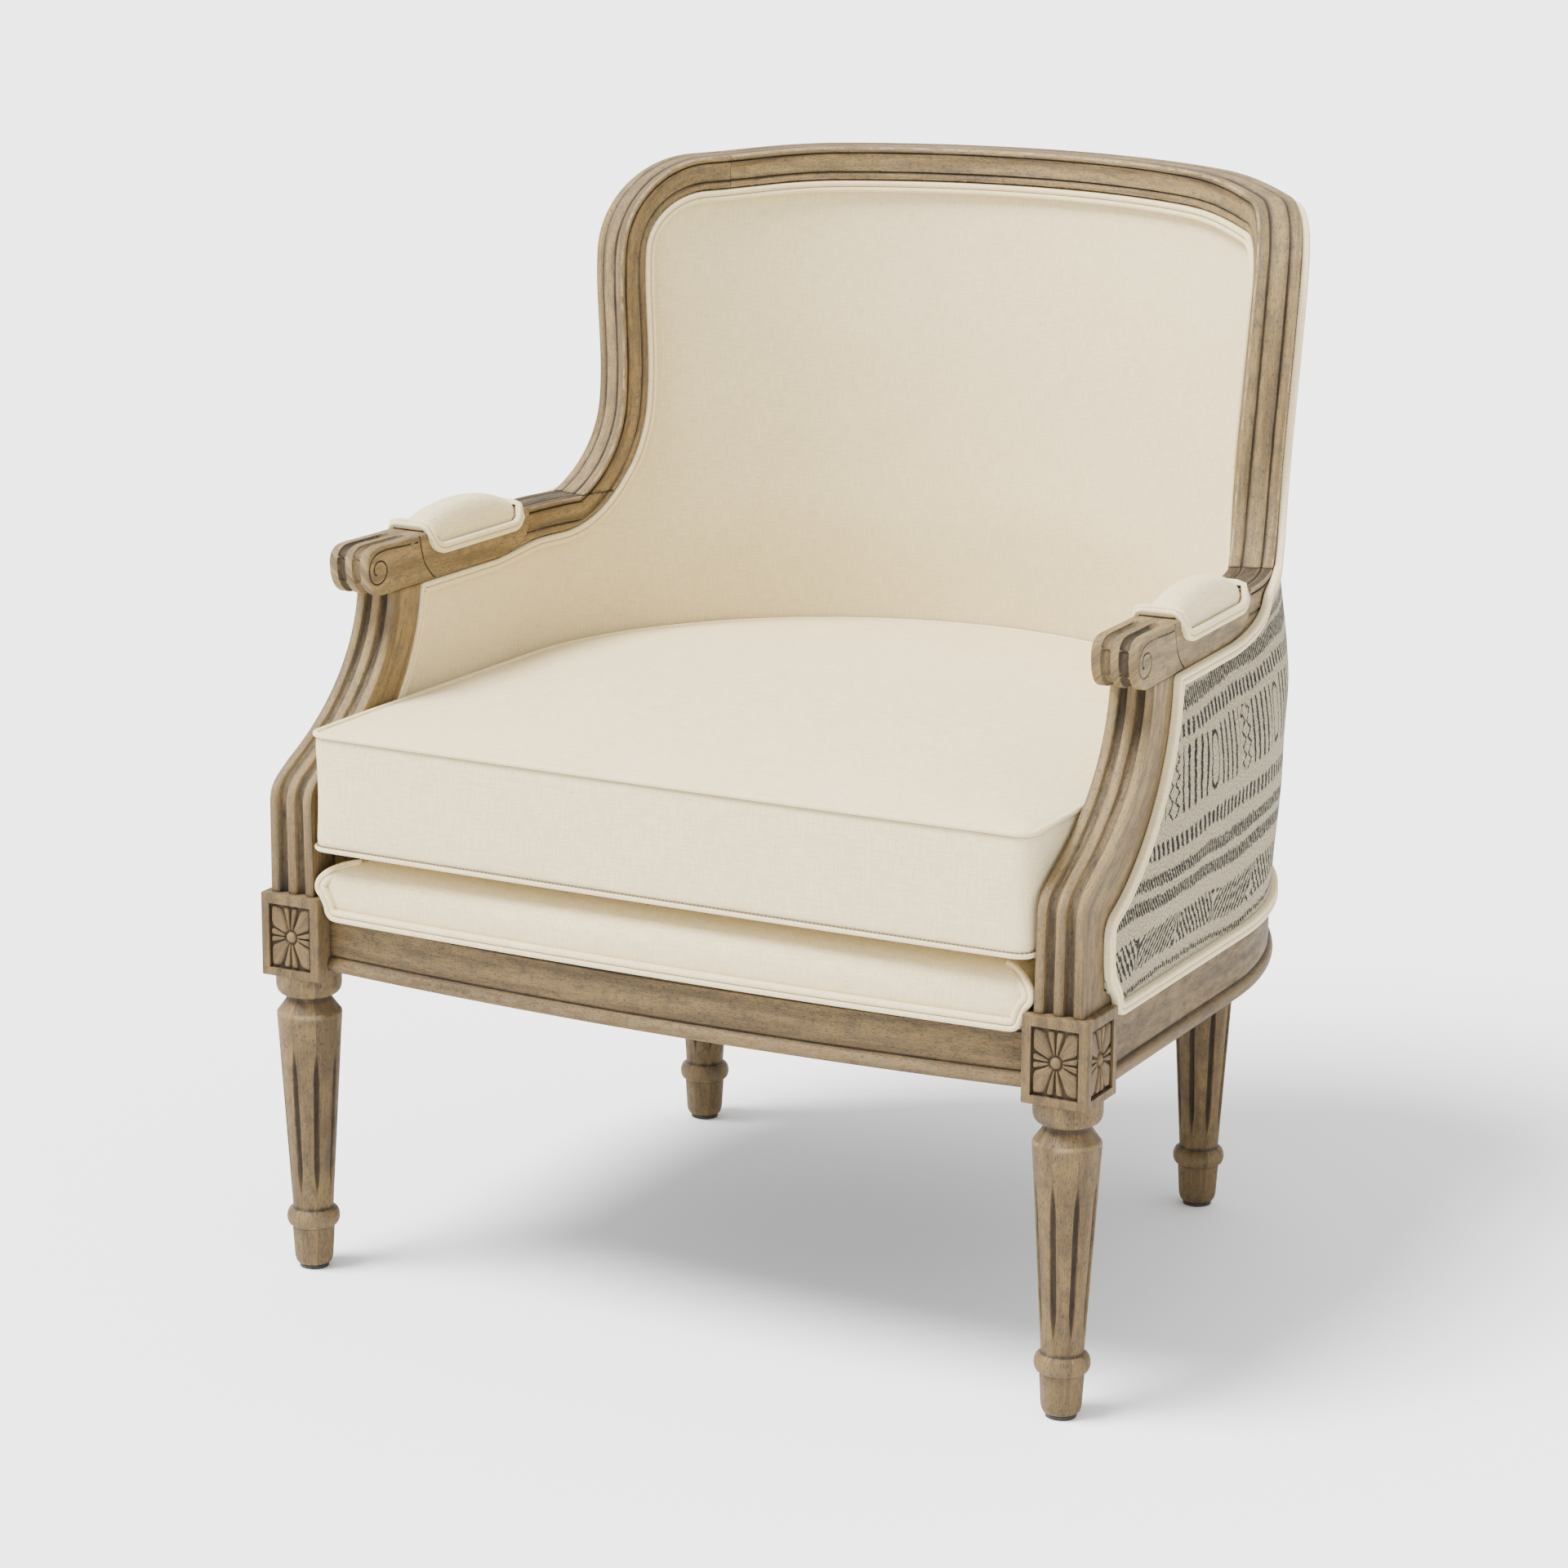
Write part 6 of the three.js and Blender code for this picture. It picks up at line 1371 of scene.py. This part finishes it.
def weltSection(width=None, thick=None):
    width, thick = width or welt["width"], thick or welt["thick"]
    radius = width / 4
    # Carve: 1 in the valley, 0.5 on the cords' inner sides and 0.9 at both feet, painted as shade
    section = [(0.25, 0.0, 0.9), (0.15, 1.3, 0)]
    for k in (0, 1):
        middle = radius * (1 + 2 * k)
        angles = steps(math.pi * 1.02, -math.pi * 0.02, 11)[1:-1]
        inmost = angles[-1] if k == 0 else angles[0]
        for a in angles:
            height = thick - radius + radius * math.sin(a)
            section.append((middle + radius * math.cos(a), height, 0.5 if a == inmost else 0))
        if k == 0:
            section.append((width / 2, welt["valley"], 1))
    return section + [(width - 0.15, 1.3, 0), (width - 0.25, 0.0, 0.9)]


def weltAlong(bm, line, depthOf, closes=False, start=0.0):
    section = weltSection()
    moves = rightSteps(line, closes)
    rings = []
    for p, move in zip(line, moves):
        ring = []
        for across, out, _ in section:
            at = p + move * across
            ring.append(onWall(at.x, at.y, depthOf(out)))
        rings.append(ring)
    sweep(bm, rings, [carve for _, _, carve in section], closes, (start, 0.0))
    if not closes:
        closeHoles(bm)


def rounded(line, reach=5):
    turns = [i for i in range(1, len(line) - 1)
             if (line[i] - line[i - 1]).angle(line[i + 1] - line[i], 0) > 0.5]
    out = list(line)
    for i in reversed(turns):
        a = line[i] + (line[i - 1] - line[i]).normalized() * min(reach, (line[i - 1] - line[i]).length * 0.9)
        b = line[i] + (line[i + 1] - line[i]).normalized() * min(reach, (line[i + 1] - line[i]).length * 0.9)
        out[i:i + 1] = [a, a * 0.25 + line[i] * 0.5 + b * 0.25, b]
    return out


def makeWelts():
    front, edge = liningLines()
    front = [p for p in front if p.y > 364]
    half = front + evenly([front[-1], edge[0]], 4)[1:-1] + edge
    bm = newMesh()
    weltAlong(bm, rounded(mirroredLine(half)), lambda out: lining["edge"] - 0.2 + out)
    newPiece("inner_welt_look", bm, canvas, "canvas", ["inner_welt"], sharp=70)
    front, edge = coverLines(0)
    low = [Vector((s, 309)) for s in steps(backStation, stationAt(48, 309), 220)]
    corner = [(41, 309.2), (34.5, 311), (30.5, 315), (28.9, 320), (27, 325.5), (22.5, 331), (18, 336.5), (14.4, 344),
              (12.8, 354)]
    corner = evenly(smoothLine([low[-1]] + [Vector((stationAt(y, z), z)) for y, z in corner], 6), 3)[1:]
    front = [p for p in front if p.y > 357]
    loop = mirroredLine(low + corner + front + evenly([front[-1], edge[0]], 4)[1:-1] + edge)
    bm = newMesh()
    weltAlong(bm, rounded(loop[:-1]), lambda out: -0.3 - out, True)
    newPiece("outer_welt_look", bm, canvas, "canvas", ["outer_welt"], sharp=70)


makeLining()
makeCoverShell()
makeWelts()
print("lining, cover and welts made")

# ---- Cushion and deck: rings round an outline, then the cushion's cloth blown up between the seams
cloth = {"pressure": 4, "frames": 20, "seam": 4.5}


# Remeshes a closed piece, blows it up as cloth with its seams held, and lets no point move further
# than capAt() gives for it
def blownUp(piece, voxel, seam, capAt):
    scene = bpy.context.scene

    def evaluated():
        return piece.evaluated_get(bpy.context.evaluated_depsgraph_get())

    remesh = piece.modifiers.new("remesh", "REMESH")
    remesh.mode, remesh.voxel_size, remesh.use_smooth_shade = "VOXEL", voxel * mm, True
    mesh = bpy.data.meshes.new_from_object(evaluated())
    piece.modifiers.clear()
    piece.data = mesh
    start = [v.co.copy() for v in mesh.vertices]
    tree = KDTree(len(seam))
    for i, p in enumerate(seam):
        tree.insert(p, i)
    tree.balance()
    held = piece.vertex_groups.new(name="held")
    held.add([i for i, p in enumerate(start) if tree.find(p)[2] < cloth["seam"] * mm], 1, "REPLACE")
    modifier = piece.modifiers.new("cloth", "CLOTH")
    modifier.point_cache.frame_start, modifier.point_cache.frame_end = 1, cloth["frames"]
    settings = modifier.settings
    settings.use_pressure, settings.uniform_pressure_force = True, cloth["pressure"]
    settings.effector_weights.gravity = 0
    settings.vertex_group_mass = "held"
    for step in range(1, cloth["frames"] + 1):
        scene.frame_set(step)
    shape = evaluated().to_mesh()
    moved = [v.co.copy() for v in shape.vertices]
    piece.modifiers.clear()
    for v, a, b in zip(mesh.vertices, start, moved):
        move, cap = b - a, capAt(a) * mm
        v.co = a + move * (cap * math.tanh(move.length / cap) / move.length if move.length else 1)
    scene.frame_set(1)
    finer = piece.modifiers.new("finer", "SUBSURF")
    finer.levels = finer.render_levels = 1


cushion = {
    "bottom": 361.5, "top": 457, "crown": 21, "startCrown": 9, "front": 29, "bow": 3, "halfWidth": 315,
    "inset": 39.4, "corner": 14, "cord": 2.5, "tuck": 2, "voxel": 5, "topCap": 14, "frontCap": 3.5, "sideCap": 0.8,
}
deck = {"bottom": 306.6, "top": 354, "front": 17, "bow": 13, "halfWidth": 307.8, "inset": 39, "weltHalf": 308}


def outlineOf(front, bow, halfWidth, corner, inset, rear, height):
    right = [Vector((x, -front - bow * (1 - (x / halfWidth) ** 2))) for x in steps(0, halfWidth - corner, 50)]
    right += [Vector((halfWidth - corner + corner * math.sin(a), -front + corner - corner * math.cos(a)))
              for a in steps(0, math.pi / 2, 8)[1:]]
    stations = steps(stationAt(rear, height), backStation, 130)
    for s in stations:
        p = wallPoint(s, height, inset)
        right.append(Vector((min(p.x, halfWidth), p.y)))
    left = [Vector((-p.x, p.y)) for p in reversed(right[1:-1])]
    return right + left


# Moved in a little way square to the outline, and beyond that towards the middle, so nothing folds
def drawnIn(outline, out, centre, square=9, reach=290):
    line = movedRight(outline, max(out, -square), True)
    share = 1 + min(out + square, 0) / reach
    return [centre.lerp(p, share) for p in line]


def blockRings(outline, profile, crown, top, centre):
    rings = []
    low, high = profile[0], profile[-1]
    for share in (0.03, 0.3, 0.6, 0.85):
        rings.append([placed(*(centre.lerp(p, share)), low[0]) for p in outline])
    for z, out in profile:
        rings.append([placed(*p, z) for p in drawnIn(outline, out, centre)])
    edge = drawnIn(outline, high[1], centre)
    for share in (0.975, 0.95, 0.9, 0.82, 0.72, 0.6, 0.46, 0.32, 0.18, 0.03):
        z = high[0] + (top + crown - high[0]) * (1 - share ** 2.4) ** 0.75
        rings.append([placed(*(centre.lerp(p, share)), z) for p in edge])
    return rings


def makeCushion():
    c = cushion
    outline = outlineOf(c["front"], c["bow"], c["halfWidth"], c["corner"], c["inset"], leg["block"] / 2 + 18, 545)
    centre = Vector((0, 270))
    low, high = c["bottom"], c["top"]
    profile = [(low, -14), (low + 0.4, -6), (low + 2, -2.4), (low + 5, -1.4)]
    profile += [(mix(low + 8, high - 8, u), -1.4 - c["tuck"] * math.sin(math.pi * u) * 0.5) for u in steps(0, 1, 14)]
    profile += [(high - 5, -1.4), (high - 1.5, -2.0), (high + 0.8, -4), (high + 2.4, -9)]
    rings = blockRings(outline, profile, c["startCrown"], high, centre)
    bm = newMesh()
    sweep(bm, rings, [0] * len(outline))
    closeHoles(bm)
    piece = newPiece("seat_cushion_look", bm, cushionCanvas, "canvas", ["seat_cushion"], "cushion", 70)
    seams = [[placed(*p, z) for p in movedRight(outline, -2.2, True)] for z in (low + 2.6, high - 0.4)]

    def capAt(p):
        z = p.z / mm
        if z < low + 1.5:
            return 0.05
        facesFront = p.y / mm < rowShift - 12 and abs(p.x) / mm < c["halfWidth"] - 16
        return mix(c["frontCap"] if facesFront else c["sideCap"], c["topCap"], eased((z - high + 1) / 6))

    blownUp(piece, c["voxel"], seams[0] + seams[1], capAt)
    for name, points, shaded in (("lower", seams[0], (2, 3)), ("upper", seams[1], (9, 10))):
        cords = newMesh()
        tube(cords, points, c["cord"], 12, [float(i in shaded) for i in range(12)], True)
        newPiece(name + "_cushion_cord", cords, canvas, "canvas", (), "cushion", 70)


def makeDeck():
    d = deck
    outline = outlineOf(d["front"], d["bow"], d["halfWidth"], 1, d["inset"], leg["block"] / 2 + 0.6, 330)
    low, high = d["bottom"], d["top"]
    profile = [(low, -9), (low, -3), (low + 3, -1)] + [(z, 0.4) for z in (316, 323, 330)]
    profile += [(336, -1), (341, -4), (345, -9), (348, -16), (350.5, -25), (352.5, -36), (high, -50)]
    rings = blockRings(outline, profile, 5, high, Vector((0, 270)))
    bm = newMesh()
    sweep(bm, rings, [0] * len(outline))
    closeHoles(bm)
    piece = newPiece("seat_deck_look", bm, cushionCanvas, "canvas", ["seat_deck"], sharp=70)
    half = d["weltHalf"]
    rise = smoothLine([Vector(p) for p in (
        (284, 351.5, 22), (295, 350, 14), (305, 346, 7), (312, 340, 2), (315, 333.5, 0), (314.4, 327, -0.5),
        (310.5, 321.5, -0.5), (307.6, 315, 0), (305.5, 308.5, 0), (300.5, 304, 0), (292, 303, 0))], 4)
    level = [Vector((x, 303 + 1.4 * (1 - (x / half) ** 2), 0)) for x in steps(-288, 288, 130)]
    spots = [Vector((-p.x, p.y, p.z)) for p in rise] + level + rise[::-1]
    path, backs = [p.xy for p in spots], [p.z for p in spots]
    section = weltSection(10, 6.4)
    moves = rightSteps(path)
    rings = []
    for p, move, back in zip(path, moves, backs):
        ring = []
        for across, out, _ in section:
            at = p - move * across
            face = -d["front"] - d["bow"] * (1 - clamp(abs(at.x) / half) ** 2)
            ring.append(placed(at.x, face + back - out + 1.4, at.y))
        rings.append(ring)
    bm = newMesh()
    sweep(bm, rings, [carve for _, _, carve in section])
    closeHoles(bm)
    newPiece("deck_welt_look", bm, canvas, "canvas", ["deck_welt"], sharp=70)


# ---- Arm pads: a domed pad over the seat cut in the arm, with a welt round its foot
pad = {"front": 158, "rear": 288.5, "crown": 607, "startCrown": 603.5, "side": 0.8, "voxel": 2.5, "cap": 4, "sideCap": 0.6}


def padFoot(y):
    o = armOutline
    front, rear = o["seatFront"] + o["frontRun"], o["seatRear"] - o["rearRun"]
    if y < front:
        share = clamp((front - y) / o["frontRun"])
        return mix(arm["seat"], o["frontTop"], 1 - math.sqrt(1 - share * share))
    if y > rear:
        share = clamp((y - rear) / o["rearRun"])
        return mix(arm["seat"], o["rearTop"], 1 - math.sqrt(1 - share * share))
    return arm["seat"]


def makePads():
    middle = arm["depth"] / 2
    half = middle - pad["side"]
    rings = []
    for y in steps(pad["front"], pad["rear"], 60):
        t = (2 * y - pad["front"] - pad["rear"]) / (pad["rear"] - pad["front"])
        foot = padFoot(y) + 0.3
        crown = mix(armOutline["frontTop"] + 2.5, pad["startCrown"], (1 - abs(t * 0.99) ** 2.2) ** 0.75)
        ring = []
        for a in steps(0, math.pi, 32):
            across = -math.copysign(abs(math.cos(a)) ** 0.6, math.cos(a))
            up = max(math.sin(a), 0) ** 0.78
            bulge = 1 + 0.05 * math.sin(math.pi * clamp(up))
            ring.append(armPoint(y, foot + (crown - foot) * up, middle + half * across * bulge))
        rings.append(ring)
    bm = newMesh()
    sweep(bm, rings, [0] * 33)
    closeHoles(bm)
    seam = [armPoint(y, padFoot(y) + 2.5, d) for y in steps(pad["front"], pad["rear"], 60)
            for d in (pad["side"], arm["depth"] - pad["side"])]
    for piece in newPair("arm_pad", bm, cushionCanvas, "canvas", ["arm_pad"], sharp=70):
        mirror = 1 if piece.name == "arm_pad_right_look" else -1
        edge = [Vector((p.x * mirror, p.y, p.z)) for p in seam]
        blownUp(piece, pad["voxel"], edge, lambda p: mix(
            pad["sideCap"], pad["cap"], eased((p.z / mm - armOutline["frontTop"] - 3) / 10)))
    makePadWelts()


def makePadWelts():
    depth, off = arm["depth"], 1.2
    front, rear = pad["front"] - 1.5, pad["rear"] + 1.5
    side = [Vector((y, padFoot(y) + 4.5)) for y in steps(front + 2, rear - 2, 40)]
    outer = [(p.x, p.y, -off) for p in side]
    inner = [(p.x, p.y, depth + off) for p in reversed(side)]
    overRear = [(rear, armOutline["rearTop"] + 3.6, d) for d in steps(2, depth - 2, 10)]
    overFront = [(front, armOutline["frontTop"] + 3.4, d) for d in steps(depth - 2, 2, 10)]
    loop = outer + overRear + inner + overFront
    points = [armPoint(*p) for p in loop]
    centre = armPoint((front + rear) / 2, arm["seat"] + 8, depth / 2)
    section = weltSection(9, 5.4)
    rings = []
    for i, p in enumerate(points):
        along = (points[(i + 1) % len(points)] - points[i - 1]).normalized()
        y, z, d = loop[i]
        out = (armPoint(y, z + 0.01, d) - centre)
        if -off < d < depth + off:
            out = Vector((0, 0, 1)) + (Vector((0, -0.5, 0)) if y < 200 else Vector((0, 0.5, 0)))
        else:
            out = (armPoint(y, z, -5) - armPoint(y, z, 5)) * (1 if d < 0 else -1)
        out = (out - along * out.dot(along)).normalized()
        across = along.cross(out).normalized()
        rings.append([p + (across * (a - 4.5) + out * (o - 0.8)) * mm for a, o, _ in section])
    bm = newMesh()
    sweep(bm, rings, [carve for _, _, carve in section], True)
    newPair("arm_pad_welt", bm, canvas, "canvas", ["arm_pad_welt"], sharp=70)


makeCushion()
makeDeck()
makePads()
print("cushion, deck and pads made")

# ---- Pieces that keep their solids get their own finish
keptFinish = {
    "glide": nylon, "steel": zinc, "bare_wood": beech, "webbing": jute, "dust_cloth": dustCloth,
}


def finishKept():
    slots = {s["node"]: s["material_slot"] for s in frame["record"]["subparts"]}
    for name, node in frame["nodes"].items():
        material = keptFinish.get(slots[name])
        if material:
            node.data.materials.clear()
            node.data.materials.append(material)


finishKept()

# ---- Floor and light
stage = {"floor": rgb(250, 250, 250), "sky": 1.6, "key": 9.0, "keyAngle": 28, "keyFrom": (-1.2, -1.25, 3.1)}


def makeStage():
    bm = bmesh.new()
    bmesh.ops.create_grid(bm, x_segments=1, y_segments=1, size=12)
    mesh = bpy.data.meshes.new("floor")
    bm.to_mesh(mesh)
    bm.free()
    floor = bpy.data.objects.new("floor", mesh)
    bpy.context.scene.collection.objects.link(floor)
    material, tree, shader = newMaterial("pale floor", Roughness=0.9, Specular_IOR_Level=0.1)
    shader.inputs["Base Color"].default_value = stage["floor"]
    mesh.materials.append(material)
    world = bpy.data.worlds.new("studio")
    world.use_nodes = True
    world.node_tree.nodes["Background"].inputs["Color"].default_value = (1, 1, 1, 1)
    world.node_tree.nodes["Background"].inputs["Strength"].default_value = stage["sky"]
    bpy.context.scene.world = world
    data = bpy.data.lights.new("key", "SUN")
    data.energy, data.angle = stage["key"], math.radians(stage["keyAngle"])
    lamp = bpy.data.objects.new("key", data)
    lamp.location = stage["keyFrom"]
    lamp.rotation_mode = "QUATERNION"
    lamp.rotation_quaternion = Vector(stage["keyFrom"]).to_track_quat("Z", "Y")
    bpy.context.scene.collection.objects.link(lamp)


makeStage()
print("floor and lights placed")
